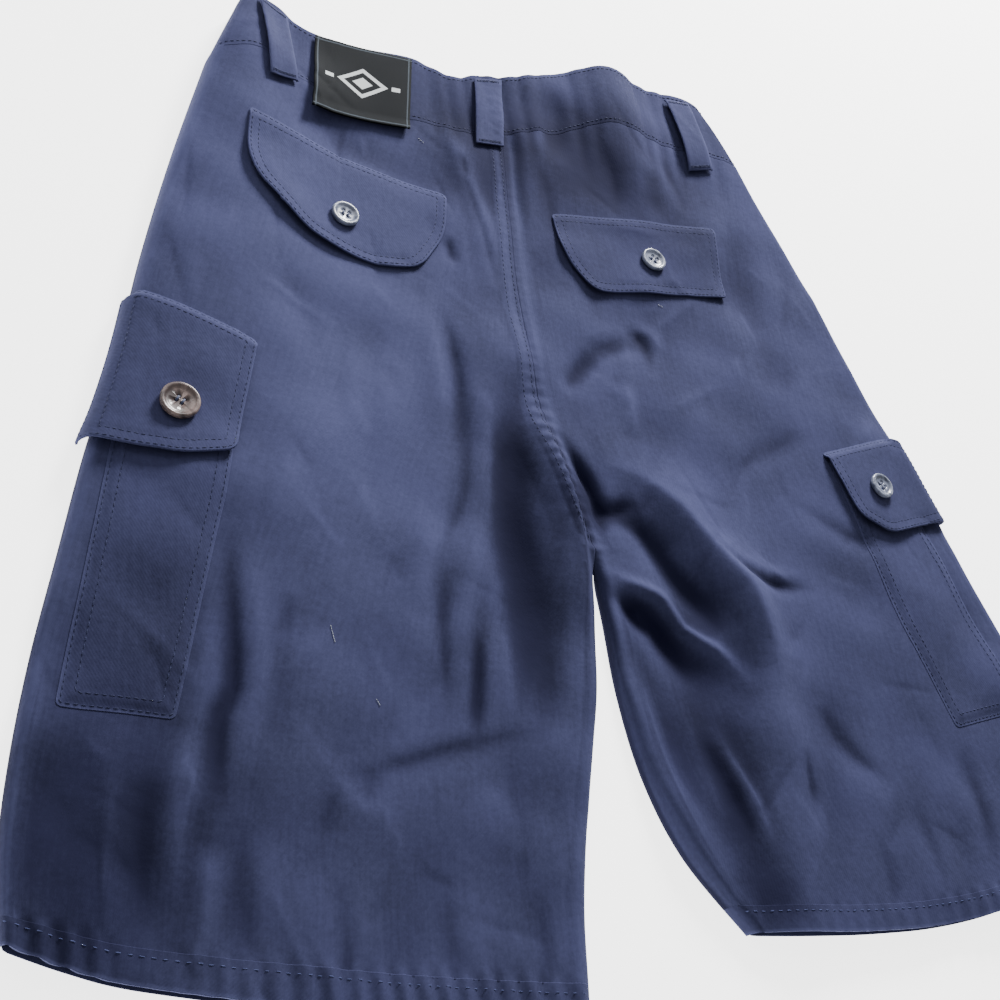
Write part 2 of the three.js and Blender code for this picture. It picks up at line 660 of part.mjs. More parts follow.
function buttonGeometry({ radius, height }) {
  const { foot, bevel, shoulder, rimOuter, rimInner, dish, depth } = BUTTON_SECTION;
  const section = [
    [0, 0], [radius - foot, 0], [radius, bevel], [radius, height - shoulder], [radius - rimOuter, height],
    [radius - rimInner, height], [radius - dish, height - depth], [0, height - depth],
  ].map(([r, z]) => new THREE.Vector2(r, z));
  let solid = toSolid(new THREE.LatheGeometry(section, BUTTON_SEGMENTS).rotateX(Math.PI / 2));
  const { count, place, segments } = BUTTON_HOLES;
  for (let i = 0; i < count; i++) {
    const turn = (2 * Math.PI * (i + 0.5)) / count;
    const hole = new THREE.CylinderGeometry(BUTTON_HOLES.radius, BUTTON_HOLES.radius, 4 * height, segments);
    hole.rotateX(Math.PI / 2).translate(place * Math.cos(turn), place * Math.sin(turn), 0);
    solid = solid.subtract(toSolid(hole));
  }
  return fromSolid(solid);
}

function buttonPlastic(colour) {
  return new THREE.MeshStandardMaterial({ color: colour, roughness: 0.3, metalness: 0 });
}

// A button lies square to its flap, just clear of the highest point under it
function seatButton(name, flap, x, y, size) {
  const target = [meshes[flap]];
  const ring = samples((t) => [
    x + size.radius * Math.cos(2 * Math.PI * t), y + size.radius * Math.sin(2 * Math.PI * t),
  ], SEAT_SAMPLES);
  const hits = [[x, y], ...ring].map(([px, py]) => hitAt(target, px, py)).filter(Boolean);
  const normal = hits.reduce((sum, hit) => sum.add(hit.face.normal), new THREE.Vector3()).normalize();
  const centre = hits[0].point;
  const lift = Math.max(...hits.map((hit) => hit.point.clone().sub(centre).dot(normal)));
  const button = add(name, buttonGeometry(size), buttonPlastic(size.colour));
  button.quaternion.setFromUnitVectors(new THREE.Vector3(0, 0, 1), normal);
  button.position.copy(centre).addScaledVector(normal, lift + SEAM_GAP);
}

const BUTTON_PLACES = table(['name', 'flap', 'x', 'y', 'size'], [
  ['button_back_left', 'back_left_flap', -107, -133, BUTTON],
  ['button_back_right', 'back_right_flap', 79, -125, BUTTON],
  ['button_cargo_left', 'cargo_left_flap', -197, -259, CARGO_BUTTON],
  ['button_cargo_right', 'cargo_right_flap', 193, -263, BUTTON],
]);
for (const { name, flap, x, y, size } of BUTTON_PLACES) {
  seatButton(name, flap, x, y, size);
}

// The waist button lies flat under the middle of the front waistband
const { radius, height, colour } = WAIST_BUTTON;
const waistButton = new THREE.CylinderGeometry(radius, radius, height, BUTTON_SEGMENTS).rotateX(Math.PI / 2);
const waistMiddle = bandPlan(0.5, 0.5);
add('waist_button', waistButton, buttonPlastic(colour))
  .position.set(waistMiddle.x - radius, waistMiddle.y - FRONT_DROP, height / 2);

// Stand the origin at the middle of the bounding box, on the surface
group.updateMatrixWorld(true);
const bounds = new THREE.Box3().setFromObject(group, true);
const middle = bounds.getCenter(new THREE.Vector3());
group.position.set(-middle.x, -middle.y, -bounds.min.z);

export default group;
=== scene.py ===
# Boys' cargo shorts in navy cotton twill, laid flat on a pale floor with the back side up.
# Tables hold millimetres, x to the right and y towards the waist; meshes are in metres.

import bpy
import math
import numpy as np
from mathutils import Matrix, Vector
from mathutils.bvhtree import BVHTree
from mathutils.geometry import delaunay_2d_cdt


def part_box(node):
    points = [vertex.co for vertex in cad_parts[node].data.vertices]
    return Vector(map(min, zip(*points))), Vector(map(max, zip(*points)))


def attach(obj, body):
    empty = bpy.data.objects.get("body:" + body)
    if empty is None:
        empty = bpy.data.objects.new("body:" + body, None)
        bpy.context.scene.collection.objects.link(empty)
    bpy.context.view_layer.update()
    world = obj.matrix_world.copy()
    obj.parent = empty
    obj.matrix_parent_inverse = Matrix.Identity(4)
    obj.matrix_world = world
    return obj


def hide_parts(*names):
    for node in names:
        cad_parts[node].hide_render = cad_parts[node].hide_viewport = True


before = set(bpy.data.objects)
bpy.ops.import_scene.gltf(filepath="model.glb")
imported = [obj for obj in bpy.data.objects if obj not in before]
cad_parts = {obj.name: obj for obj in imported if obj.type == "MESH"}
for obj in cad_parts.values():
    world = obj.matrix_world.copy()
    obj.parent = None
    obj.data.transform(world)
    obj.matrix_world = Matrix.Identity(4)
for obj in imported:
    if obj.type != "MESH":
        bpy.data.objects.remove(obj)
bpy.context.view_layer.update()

# The surface that the shorts lie on, with its light. A matt white acrylic light table in a photo
# studio; a low window on the waist's side lights the cloth, so that folds shade away from it.

LABEL_WEST = -120
LABEL_TOP = -9
label_low, label_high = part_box("label")
ORIGIN = np.array([1000 * label_low[0] - LABEL_WEST, 1000 * label_high[1] - LABEL_TOP, 0.0])


def metres(points):
    """Points of the tables' millimetres, in the frame's metres"""
    return (np.asarray(points, float) + ORIGIN) / 1000


def linear(hex_colour):
    """Linear colour of an sRGB hex value"""
    shares = [((hex_colour >> shift) & 255) / 255 for shift in (16, 8, 0)]
    return tuple(c / 12.92 if c <= 0.04045 else ((c + 0.055) / 1.055) ** 2.4 for c in shares) + (1.0,)


def add(tree, kind, settings=None, inputs=None):
    """A node of a tree with its settings, and values or links for its inputs"""
    node = tree.nodes.new(kind)
    for key, value in (settings or {}).items():
        setattr(node, key, value)
    for key, value in (inputs or {}).items():
        if isinstance(value, bpy.types.NodeSocket):
            tree.links.new(value, node.inputs[key])
        else:
            node.inputs[key].default_value = value
    return node


def new_material(name):
    """An empty material, its node tree and its shader"""
    material = bpy.data.materials.new(name)
    material.use_nodes = True
    tree = material.node_tree
    return material, tree, tree.nodes["Principled BSDF"]


FLOOR_SIZE = 12.0
FLOOR_COLOUR = 0xF2F2F2
FLOOR_GLOW = 3.6
paper, paper_tree, paper_shader = new_material("backlit matt white acrylic")
paper_shader.inputs["Base Color"].default_value = linear(FLOOR_COLOUR)
paper_shader.inputs["Roughness"].default_value = 0.9
paper_shader.inputs["Emission Color"].default_value = linear(FLOOR_COLOUR)
paper_shader.inputs["Emission Strength"].default_value = FLOOR_GLOW
floor_mesh = bpy.data.meshes.new("floor")
half = FLOOR_SIZE / 2
floor_corners = [(-half, -half, 0), (half, -half, 0), (half, half, 0), (-half, half, 0)]
floor_mesh.from_pydata(floor_corners, [], [(0, 1, 2, 3)])
floor_mesh.materials.append(paper)
floor = bpy.data.objects.new("floor", floor_mesh)
bpy.context.scene.collection.objects.link(floor)

WORLD_COLOUR = 0xFFFFFF
WORLD_STRENGTH = 0.35
world = bpy.data.worlds.new("studio")
world.use_nodes = True
world.node_tree.nodes["Background"].inputs["Color"].default_value = linear(WORLD_COLOUR)
world.node_tree.nodes["Background"].inputs["Strength"].default_value = WORLD_STRENGTH
bpy.context.scene.world = world


def softbox(name, place, size, power, colour=0xFFFFFF):
    """A square area light that faces the middle of the shorts"""
    light = bpy.data.lights.new(name, "AREA")
    light.size = size
    light.energy = power
    light.color = linear(colour)[:3]
    lamp = bpy.data.objects.new(name, light)
    lamp.location = place
    lamp.rotation_euler = (-Vector(place)).to_track_quat("-Z", "Y").to_euler()
    bpy.context.scene.collection.objects.link(lamp)


softbox("window", (0.52, 1.2, 0.58), 0.36, 51.0)
softbox("fill", (-0.7, 1.1, 1.3), 1.0, 9.0)

# The camera, fitted to the outline of the shorts in a frame of 1000 by 1000 pixels

CAMERA_TILT = 39.6
CAMERA_TURN = 43.9
CAMERA_ROLL = -41.8
CAMERA_PLACE = (-337.365, -594.93, 520.59)
CAMERA_LENS = 50.4
tilt, turn, roll = (math.radians(angle) for angle in (CAMERA_TILT, CAMERA_TURN, CAMERA_ROLL))
forward = Vector((math.sin(tilt) * math.sin(turn), math.sin(tilt) * math.cos(turn), -math.cos(tilt)))
level_up = Vector((math.cos(tilt) * math.sin(turn), math.cos(tilt) * math.cos(turn), math.sin(tilt)))
level_right = forward.cross(level_up)
up = math.cos(roll) * level_up + math.sin(roll) * level_right
right = math.cos(roll) * level_right - math.sin(roll) * level_up
camera_data = bpy.data.cameras.new("camera")
camera_data.lens = CAMERA_LENS
camera_data.sensor_width = 36.0
camera_data.clip_start = 0.01
camera = bpy.data.objects.new("camera", camera_data)
camera_axes = Matrix((right, up, -forward)).transposed().to_4x4()
camera.matrix_world = Matrix.Translation(metres(CAMERA_PLACE)) @ camera_axes
bpy.context.scene.collection.objects.link(camera)
bpy.context.scene.camera = camera

# The cut of the two legs: a back panel runs from the waistband's seam to the hem, from the
# outer seam to the centre back seam and the inseam below it. Its cloth turns down at each
# seam that lies at a side.

SIDE_ROUND = 9.0
SIDE_CURL = 12.0
CROTCH = 0.5
CROTCH_EASE = 0.07
SEAM_GAP = 0.3
HEM_SHARE = 0.04


def spline(points, t):
    """Points at shares of a smooth line through some points, straight on past its two ends"""
    p = np.array(points, float)
    t = np.asarray(t, float)
    inside = np.clip(t, 0, 1) * (len(p) - 1)
    i = np.minimum(inside.astype(int), len(p) - 2)
    w = (inside - i)[..., None]
    before, a, b, after = p[np.maximum(i - 1, 0)], p[i], p[i + 1], p[np.minimum(i + 2, len(p) - 1)]
    before = np.where((i == 0)[..., None], a, before)
    after = np.where((i + 2 > len(p) - 1)[..., None], b, after)
    m0, m1 = (b - before) / 2, (after - a) / 2
    curve = ((2 * a - 2 * b + m0 + m1) * w + (3 * b - 3 * a - 2 * m0 - m1)) * w * w + m0 * w + a
    start = (p[1] - p[0]) * (len(p) - 1) * np.minimum(t, 0)[..., None]
    end = (p[-1] - p[-2]) * (len(p) - 1) * np.maximum(t - 1, 0)[..., None]
    return curve + start + end


def smooth(low, high, value):
    """0 below low, 1 above high, and a soft rise between"""
    t = np.clip((np.asarray(value, float) - low) / (high - low), 0, 1)
    return t * t * (3 - 2 * t)


def mix(a, b, share):
    return a + (b - a) * share


CENTRE_BACK = [(-3, -49), (-7, -100), (-11, -150), (-13, -200), (-12, -240), (-6, -270), (4, -312)]
WAIST_SEAM = {
    "left": [(-172, -41), (-146, -38), (-122, -46), (-90, -52), (-52, -52), (-29, -54), (-3, -49)],
    "right": [(-3, -49), (37, -37), (68, -28), (99, -30), (134, -30), (165, -36)],
}
OUTER = {
    "left": [
        (-172, -41), (-191, -105), (-208, -170), (-221, -229), (-235, -281), (-246, -329),
        (-256, -373), (-263, -413), (-267, -450), (-267, -483),
    ],
    "right": [
        (165, -36), (186, -92), (205, -162), (223, -221), (240, -275), (253, -323),
        (266, -365), (275, -405), (281, -438), (284, -466),
    ],
}
INSEAM = {
    "left": [(4, -312), (0, -345), (-8, -388), (-21, -435), (-32, -478), (-39, -530)],
    "right": [(4, -312), (5, -345), (5, -385), (10, -425), (23, -461), (48, -496)],
}
HEM = {
    "left": [(-267, -483), (-243, -493), (-217, -501), (-160, -512), (-100, -522), (-39, -530)],
    "right": [(48, -496), (85, -498), (121, -499), (158, -498), (197, -493), (240, -482), (284, -466)],
}


def sides(leg, v):
    """West and east edge of a leg at shares of its length, and how far each turns down"""
    v = np.asarray(v, float)
    seam = spline(CENTRE_BACK, np.minimum(v / CROTCH, 1))
    below = spline(INSEAM[leg], np.maximum((v - CROTCH) / (1 - CROTCH), 0))
    inner = np.where((v < CROTCH)[..., None], seam, below)
    inner[..., 0] += SEAM_GAP / 2 * (-1 if leg == "left" else 1)
    opening = smooth(CROTCH, CROTCH + CROTCH_EASE, v)
    outer = spline(OUTER[leg], v)
    closed = np.ones_like(v)
    if leg == "left":
        return outer, inner, closed, opening
    return inner, outer, opening, closed


def leg_plan(leg, u, v):
    """Plan of a leg at shares u from west to east and v from waist to hem"""
    u, v = np.broadcast_arrays(np.asarray(u, float), np.asarray(v, float))
    west, east, _, _ = sides(leg, v)
    w0, e0, _, _ = sides(leg, np.zeros(1))
    w1, e1, _, _ = sides(leg, np.ones(1))
    top, hem = spline(WAIST_SEAM[leg], u), spline(HEM[leg], u)
    us, vs = u[..., None], v[..., None]
    return mix(west, east, us) + mix(top, hem, vs) - mix(mix(w0, e0, us), mix(w1, e1, us), vs)


def leg_shares(leg, x, y):
    """Shares u, v of a leg at places in its plan, also just past its sides"""
    x, y = np.asarray(x, float), np.asarray(y, float)
    u, v = np.full(x.shape, 0.5), np.full(x.shape, 0.5)
    step = 1e-4
    for _ in range(14):
        here = leg_plan(leg, u, v)
        du = (leg_plan(leg, u + step, v) - here) / step
        dv = (leg_plan(leg, u, v + step) - here) / step
        miss_x, miss_y = x - here[..., 0], y - here[..., 1]
        det = du[..., 0] * dv[..., 1] - dv[..., 0] * du[..., 1]
        u = np.clip(u + (miss_x * dv[..., 1] - miss_y * dv[..., 0]) / det, -0.2, 1.2)
        v = np.clip(v + (miss_y * du[..., 0] - miss_x * du[..., 1]) / det, -0.15, 1.05)
    return u, v


# How the back cloth lies: long soft rises, folds and fine creases. A fold is a line with a
# width and a rise, which dies out at both ends; a trough has a rise below nothing.

REST_HEIGHT = 8.2
LOW_HEIGHT = 2.5
LOW_HEIGHT_BAND = 5.2
SETTLING = 1.6
END_FADE = 0.42
CREASE_POWER = 1.5
FOLD_STEPS = 14
RISES = [
    ([(-146, 50), (-150, -20), (-160, -110)], 26, 6),
    ([(-146, 60), (-152, -20), (-164, -110), (-184, -230), (-200, -380)], 42, 8),
    ([(70, 60), (74, 0), (88, -110)], 26, 10),
    ([(20, 40), (24, -90)], 20, 3),
    ([(140, 50), (160, -90)], 20, 3),
    ([(-20, -150), (-40, -330)], 30, 4),
    ([(150, -130), (180, -260), (196, -400)], 36, 3),
]
LEFT_FOLDS = [
    ([(-135, -66), (-82, -89), (-36, -108)], 14, -3),
    ([(-39, -44), (-29, -110), (-26, -170)], 7, 3),
    ([(-19, -205), (-38, -295), (-36, -410)], 12, -8),
    ([(-240, -300), (-246, -480)], 16, -2),
]
RIGHT_FOLDS = [
    ([(38, 0), (30, -66)], 8, -5),
    ([(93, -50), (90, -94)], 8, -2),
    ([(146, -80), (143, -145), (149, -206)], 14, -4),
    ([(4, -222), (31, -193), (70, -179)], 6, -2),
    ([(12, -262), (66, -306), (86, -368), (78, -450), (66, -590)], 20, 8),
    ([(2, -338), (32, -352), (53, -396)], 12, -4),
    ([(12, -375), (22, -433), (36, -480)], 10, 3),
]
# A crease is a sharp line, drawn from the waist's side down: its width to the west, its width to
# the east, and its rise.
CREASES = [
    ([(-36, -71), (-30, -106), (-26, -138), (-24, -162)], 6.9, 3.4, -2.5),
    ([(-33, -72), (-31, -90)], 2.5, 2.5, -1.2),
    ([(4, -45), (3, -60), (0, -92), (-3, -140)], 6.9, 4.6, -3.1),
    ([(-49, -130), (-46, -152)], 3.8, 3.1, -1.7),
    ([(-100, -68), (-104, -88), (-106, -114)], 2.2, 2.2, -0.8),
    ([(-60, -176), (-56, -205), (-56, -232), (-62, -270)], 9.2, 4, -2.7),
    ([(-67, -176), (-66, -225), (-70, -266)], 8, 6.9, 1.9),
    ([(-53, -222), (-58, -269), (-64, -293), (-77, -316), (-90, -344)], 9.2, 4.6, -2.7),
    ([(-44, -226), (-48, -262), (-56, -300)], 5, 5, 1.4),
    ([(-54, -300), (-69, -345), (-78, -372)], 6.2, 5, 2),
    ([(-70, -296), (-86, -327), (-95, -352)], 6.2, 5, 1.9),
    ([(-77, -326), (-83, -360), (-84, -402)], 4.4, 3.4, -1.7),
    ([(-64, -356), (-69, -386), (-74, -411)], 3.8, 2.5, -3.1),
    ([(-52, -350), (-55, -378), (-56, -402)], 5, 3.8, 1.1),
    ([(-17, -226), (-12, -262), (-6, -300), (-9, -345), (-16, -408)], 12, 5, 9),
    ([(-4, -308), (-6, -345), (-14, -392)], 3.8, 3.8, -0.9),
    ([(-8, -244), (2, -262), (10, -280), (11, -296), (3, -314)], 4, 4, -5.5),
    ([(6, -288), (18, -290), (34, -284)], 5, 5, -3.5),
    ([(12, -262), (23, -264), (39, -271), (53, -285), (67, -306), (81, -329), (87, -352), (89, -372),
      (84, -395), (77, -424)], 9, 20, 7),
    ([(12, -292), (33, -300), (48, -322), (60, -342), (66, -358)], 9, 7, -7),
    ([(2, -322), (14, -327), (25, -332), (36, -339), (43, -353), (59, -364), (68, -375), (78, -392)], 8, 5, 5.5),
    ([(3, -334), (16, -340), (28, -349), (38, -366), (46, -382)], 7, 6, -5),
    ([(10, -350), (20, -380), (24, -420), (34, -452)], 9.2, 9.2, -2),
    ([(26, -336), (29, -350), (26, -362)], 3.1, 3.1, 1.2),
    ([(48, -398), (55, -423), (61, -442), (66, -468)], 8, 3.4, 2.8),
    ([(40, -404), (50, -430), (58, -462)], 6.9, 4.6, -2),
    ([(34, -388), (38, -420), (44, -452)], 6.9, 6.9, 1.1),
    ([(68, -302), (80, -318), (98, -325), (116, -326), (134, -326)], 4.2, 3.8, -3.1),
    ([(84, -312), (104, -319), (130, -320)], 5, 6.2, 0.9),
    ([(158, -228), (125, -245), (92, -262)], 9, 7, -1.5),
    ([(128, -272), (163, -292), (190, -301)], 8, 6, -1.6),
    ([(116, -388), (129, -412), (149, -433)], 8, 5.8, -2.3),
    ([(96, -412), (98, -446)], 3.8, 3.1, -1.4),
    ([(48, -176), (60, -178), (64, -188), (62, -206)], 5.5, 4, -2),
    ([(54, -172), (68, -176), (72, -190)], 3.8, 5, 0.9),
    ([(30, -196), (16, -209), (4, -222)], 6, 5, -1.8),
    ([(44, -210), (43, -228), (40, -246)], 5, 4.4, 1.9),
    ([(16, -64), (20, -96), (18, -132)], 3.8, 3.8, -0.8),
    ([(62, -40), (66, -70), (62, -98)], 6.2, 5, -1.2),
    ([(104, -40), (112, -62), (114, -84)], 5, 5, -1.1),
    ([(-176, -314), (-177, -340), (-178, -384), (-185, -402), (-187, -424), (-186, -442)], 6.2, 3.8, -3.6),
    ([(-166, -318), (-168, -380), (-176, -430)], 6.9, 6.9, 1.4),
    ([(-150, -344), (-157, -368)], 3.8, 3.8, -0.9),
    ([(-150, -428), (-124, -423), (-111, -420), (-96, -416), (-78, -411), (-58, -408), (-26, -402)], 6.2, 3.8, -1.7),
    ([(-140, -426), (-147, -454)], 5, 5, -1),
    ([(-121, -420), (-128, -440)], 5, 5, -1),
    ([(-226, -398), (-229, -430), (-232, -462), (-232, -494)], 17.2, 8, 3.6),
    ([(-252, -404), (-256, -440), (-258, -478)], 8, 8, -1.2),
    ([(-200, -404), (-201, -424), (-206, -450), (-204, -492)], 13.8, 6.9, 3.3),
    ([(-213, -420), (-218, -450), (-217, -488)], 6.2, 6.2, -1.2),
    ([(-192, -450), (-194, -470), (-196, -500)], 6.2, 6.2, 1.9),
    ([(-178, -440), (-180, -470), (-178, -504)], 5, 5, -1.1),
    ([(-140, -462), (-142, -486), (-140, -510)], 6.2, 5, -1.2),
    ([(-96, -470), (-98, -492), (-96, -516)], 5, 5, -1.1),
    ([(-58, -470), (-56, -498), (-58, -522)], 6.2, 5, -1.2),
    ([(-150, -160), (-132, -200), (-122, -248)], 10.3, 9.2, -1.2),
    ([(-96, -190), (-104, -250), (-112, -300)], 10.3, 9.2, -1.1),
    ([(200, -410), (204, -440), (202, -470)], 6.9, 5.8, -1.6),
    ([(236, -416), (240, -440), (240, -466)], 6.2, 6.2, -1.4),
    ([(158, -440), (164, -464), (162, -488)], 6.2, 5, -1.1),
    ([(128, -452), (132, -474), (130, -492)], 5, 5, -0.9),
]
RUMPLES = {"count": 230, "length": (18, 70), "width": (2.0, 5.5), "rise": (0.15, 0.6), "seed": 11}
SWELLS = {"count": 14, "length": (38, 120), "height": 0.22, "seed": 5}
GATHERS = [
    (-138, 5, 0.9), (-124, 4, 0.7), (-44, 4, 1.0), (-33, 3, 0.8), (-22, 3, 1.2),
    (-9, 3, 0.9), (2, 3, 1.2), (14, 3, 1.0), (27, 4, 0.8), (49, 4, 0.9),
    (60, 4, 0.6), (96, 4, 0.9), (108, 4, 1.1), (119, 3, 0.8), (146, 4, 0.8),
]
BAND_WIDTH = 42
GATHER_REACH = 75


def near_line(points, x, y, sides_too=False):
    """Distance from places to a line of points, the share of the line nearest to each, and on
    request whether each lies to the left of the line's way, east of one that runs down"""
    a, b = points[:-1], points[1:]
    along = b - a
    dx, dy = x[:, None] - a[:, 0], y[:, None] - a[:, 1]
    t = np.clip((dx * along[:, 0] + dy * along[:, 1]) / (along ** 2).sum(1), 0, 1)
    distance = np.hypot(dx - t * along[:, 0], dy - t * along[:, 1])
    best = distance.argmin(1)
    rows = np.arange(len(x))
    share = (best + t[rows, best]) / len(a)
    if not sides_too:
        return distance[rows, best], share
    left = along[best, 0] * dy[rows, best] - along[best, 1] * dx[rows, best] > 0
    return distance[rows, best], share, left


def fold_heights(folds, x, y):
    """Sum of the folds' heights at places in plan. A fold has one width and is soft, or has a
    width to each side and comes to a sharper line."""
    x, y = np.asarray(x, float), np.asarray(y, float)
    shape, x, y = x.shape, x.ravel(), y.ravel()
    total = np.zeros(x.size)
    for line, *widths, rise in folds:
        steps = 1 if len(line) == 2 else FOLD_STEPS
        points = spline(line, np.linspace(0, 1, steps + 1))
        reach = 3 * max(widths)
        low, high = points.min(0) - reach, points.max(0) + reach
        close = np.flatnonzero((x > low[0]) & (x < high[0]) & (y > low[1]) & (y < high[1]))
        if not close.size:
            continue
        distance, along, east = near_line(points, x[close], y[close], True)
        fade = smooth(0, END_FADE, along) * smooth(0, END_FADE, 1 - along)
        share = distance / np.where(east, widths[-1], widths[0])
        total[close] += rise * fade * np.exp(-share ** (2 if len(widths) == 1 else CREASE_POWER))
    return total.reshape(shape)


def rumples():
    """Short faint creases all over, most of them near the run of the legs"""
    random = np.random.default_rng(RUMPLES["seed"])
    for _ in range(RUMPLES["count"]):
        x, y = random.uniform(-270, 280), random.uniform(-520, 10)
        turn = random.normal(0, 0.6)
        length, width = random.uniform(*RUMPLES["length"]), random.uniform(*RUMPLES["width"])
        rise = random.uniform(*RUMPLES["rise"]) * random.choice((-1, 1))
        half = (length / 2 * math.sin(turn), -length / 2 * math.cos(turn))
        yield [(x - half[0], y - half[1]), (x + half[0], y + half[1])], width, width * 0.7, rise


def swells(x, y):
    """Broad slight unevenness of the cloth"""
    random = np.random.default_rng(SWELLS["seed"])
    total = 0.0
    for _ in range(SWELLS["count"]):
        turn, phase, length = random.uniform(0, math.pi), random.uniform(0, 7), random.uniform(*SWELLS["length"])
        total = total + np.sin(2 * math.pi * (x * math.cos(turn) + y * math.sin(turn)) / length + phase)
    return SWELLS["height"] * total


ALL_CREASES = CREASES + list(rumples())


def felled_seam(x, y):
    """Thickness of the centre back seam: its allowances lie under the west side, stitched"""
    line = spline(CENTRE_BACK, np.linspace(0, 1, 40))
    s = x - np.interp(-y, -line[:, 1], line[:, 0])
    fade = smooth(-318, -306, y)
    strip = smooth(-9.5, -8, s) * (1 - smooth(-0.8, 0.1, s))
    stitches = np.exp(-(((s + 2.0) / 0.7) ** 2)) + np.exp(-(((s + 7.2) / 0.7) ** 2))
    pucker = np.sin(2 * math.pi * y / 7.3 + 0.8 * np.sin(y / 11)) * np.exp(-(((s + 1) / 6) ** 2))
    tension = smooth(200, 262, -y)
    return fade * (0.5 * strip - 0.25 * stitches + (0.12 + 0.5 * tension) * pucker)


def cloth_height(x, y):
    """Height of the back cloth over the floor, away from its sides"""
    x, y = np.asarray(x, float), np.asarray(y, float)
    free = REST_HEIGHT + fold_heights(RISES + LEFT_FOLDS + RIGHT_FOLDS + ALL_CREASES, x, y)
    fade = 1 - smooth(BAND_WIDTH, GATHER_REACH, -y)
    free = free - fade * sum(d * np.exp(-(((x - at) / w) ** 2)) for at, w, d in GATHERS)
    free = free + swells(x, y)
    lowest = mix(LOW_HEIGHT, LOW_HEIGHT_BAND, smooth(-84, -64, y))
    return lowest + SETTLING * np.log1p(np.exp((free - lowest) / SETTLING)) + felled_seam(x, y)


def turned(distance, opening):
    """Plan distance and share of the height at a distance along cloth that turns down"""
    along = distance + (SIDE_CURL - SIDE_ROUND) * opening
    angle = np.clip(along / SIDE_CURL, 0, 1) * math.pi / 2
    plan = np.where(along < SIDE_CURL, SIDE_ROUND * (1 - np.cos(angle)), distance)
    return mix(distance, plan, opening), 1 - opening * (1 - np.sin(angle))


HEM_PUCKERS = {"pitch": 9.5, "depth": 1.0, "wander": 1.3, "wander_length": 17, "start": 0.055}


def leg_surface(leg, u, v, step=0.0):
    """Top of the back cloth of a leg at shares u, v. Past a side that turns down, u runs on
    down its curl."""
    u, v = np.broadcast_arrays(np.asarray(u, float), np.asarray(v, float))
    west, east, west_open, east_open = sides(leg, v)
    width = np.hypot(*(east - west).T).T
    from_west, from_east = u * width, (1 - u) * width
    plan_west, share_west = turned(from_west, west_open)
    plan_east, share_east = turned(from_east, east_open)
    u_plan = u + (plan_west - from_west) / width - (plan_east - from_east) / width
    plan = leg_plan(leg, u_plan, v)
    p = HEM_PUCKERS
    wave = np.sin(2 * math.pi * plan[..., 0] / p["pitch"] + p["wander"] * np.sin(plan[..., 0] / p["wander_length"]))
    uneven = 0.55 + 0.45 * np.sin(plan[..., 0] / 23 + 1.7 * np.sin(plan[..., 0] / 41))
    puckers = p["depth"] * uneven * wave * smooth(1 - p["start"], 1 - HEM_SHARE * 0.7, v)
    height = (cloth_height(plan[..., 0], plan[..., 1]) + puckers + step) * share_west * share_east
    return np.concatenate([plan, np.maximum(height, 0)[..., None]], -1)


def leg_lay(leg, u, v, out, step=0.0):
    """Points that stand out from the cloth of a leg by a distance"""
    h = 1e-3
    du = leg_surface(leg, u + h, v, step) - leg_surface(leg, u - h, v, step)
    dv = leg_surface(leg, u, v + h, step) - leg_surface(leg, u, v - h, step)
    normal = np.cross(dv, du)
    normal /= np.linalg.norm(normal, axis=-1, keepdims=True)
    return leg_surface(leg, u, v, step) + normal * np.asarray(out, float)[..., None]


def grid_piece(name, points, across, down, material, thickness, wear_and_painted_shading=None):
    """A cloth shell over rows of points, in millimetres, with a UV map of the flat cloth.
    across and down give each point's place on the flat cloth; the last argument gives each point's paler abrasion and
    painted light above 0, and its kept dye and painted shade below 0."""
    rows, columns = points.shape[:2]
    index = np.arange(rows * columns).reshape(rows, columns)
    quads = np.stack([index[:-1, :-1], index[1:, :-1], index[1:, 1:], index[:-1, 1:]], -1).reshape(-1, 4)
    flat = np.stack([across, down], -1).reshape(-1, 2)
    return shell(name, points.reshape(-1, 3), quads, flat, material, thickness,
                 np.zeros(rows * columns) if wear_and_painted_shading is None else wear_and_painted_shading.ravel())


def shell(name, points, faces, flat, material, thickness, wear_and_painted_shading):
    """A cloth shell on a surface whose faces point out, thickened inward"""
    mesh = bpy.data.meshes.new(name)
    mesh.from_pydata(metres(points).tolist(), [], [list(map(int, face)) for face in faces])
    uv = mesh.uv_layers.new(name="cloth")
    corners = np.empty(len(mesh.loops), dtype=int)
    mesh.loops.foreach_get("vertex_index", corners)
    uv.data.foreach_set("uv", (flat[corners] / 1000).ravel())
    # The point attribute holds abrasion and fading together with painted light above 0 and painted shade below 0
    attribute = mesh.attributes.new("wear_and_painted_shading", "FLOAT", "POINT")
    attribute.data.foreach_set("value", np.asarray(wear_and_painted_shading, float))
    mesh.materials.append(material)
    mesh.shade_smooth()
    piece = bpy.data.objects.new(name, mesh)
    bpy.context.scene.collection.objects.link(piece)
    solidify = piece.modifiers.new("wall", "SOLIDIFY")
    solidify.thickness = thickness / 1000
    solidify.offset = -1
    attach(piece, "root")
    return piece


# Cotton twill, piece-dyed navy and washed soft: a steep diagonal rib, yarns of slightly uneven
# colour, a short nap that lightens it at a glance, and paler wear along folded edges. A point
# attribute also mixes in a pale colour as painted light and a dark colour as painted shade.

TWILL_RIB = 1.2        # real ribs are 0.6 mm apart, too fine to show at this size
YARN = 0.45
# The darkest colour stands for kept dye and for painted shade; the palest for wear and for painted light
TWILL_COLOURS = {"kept_dye_and_painted_shade": 0x14152C, "deep": 0x26283E, "middle": 0x333553, "worn_and_painted_shading": 0x585C84}


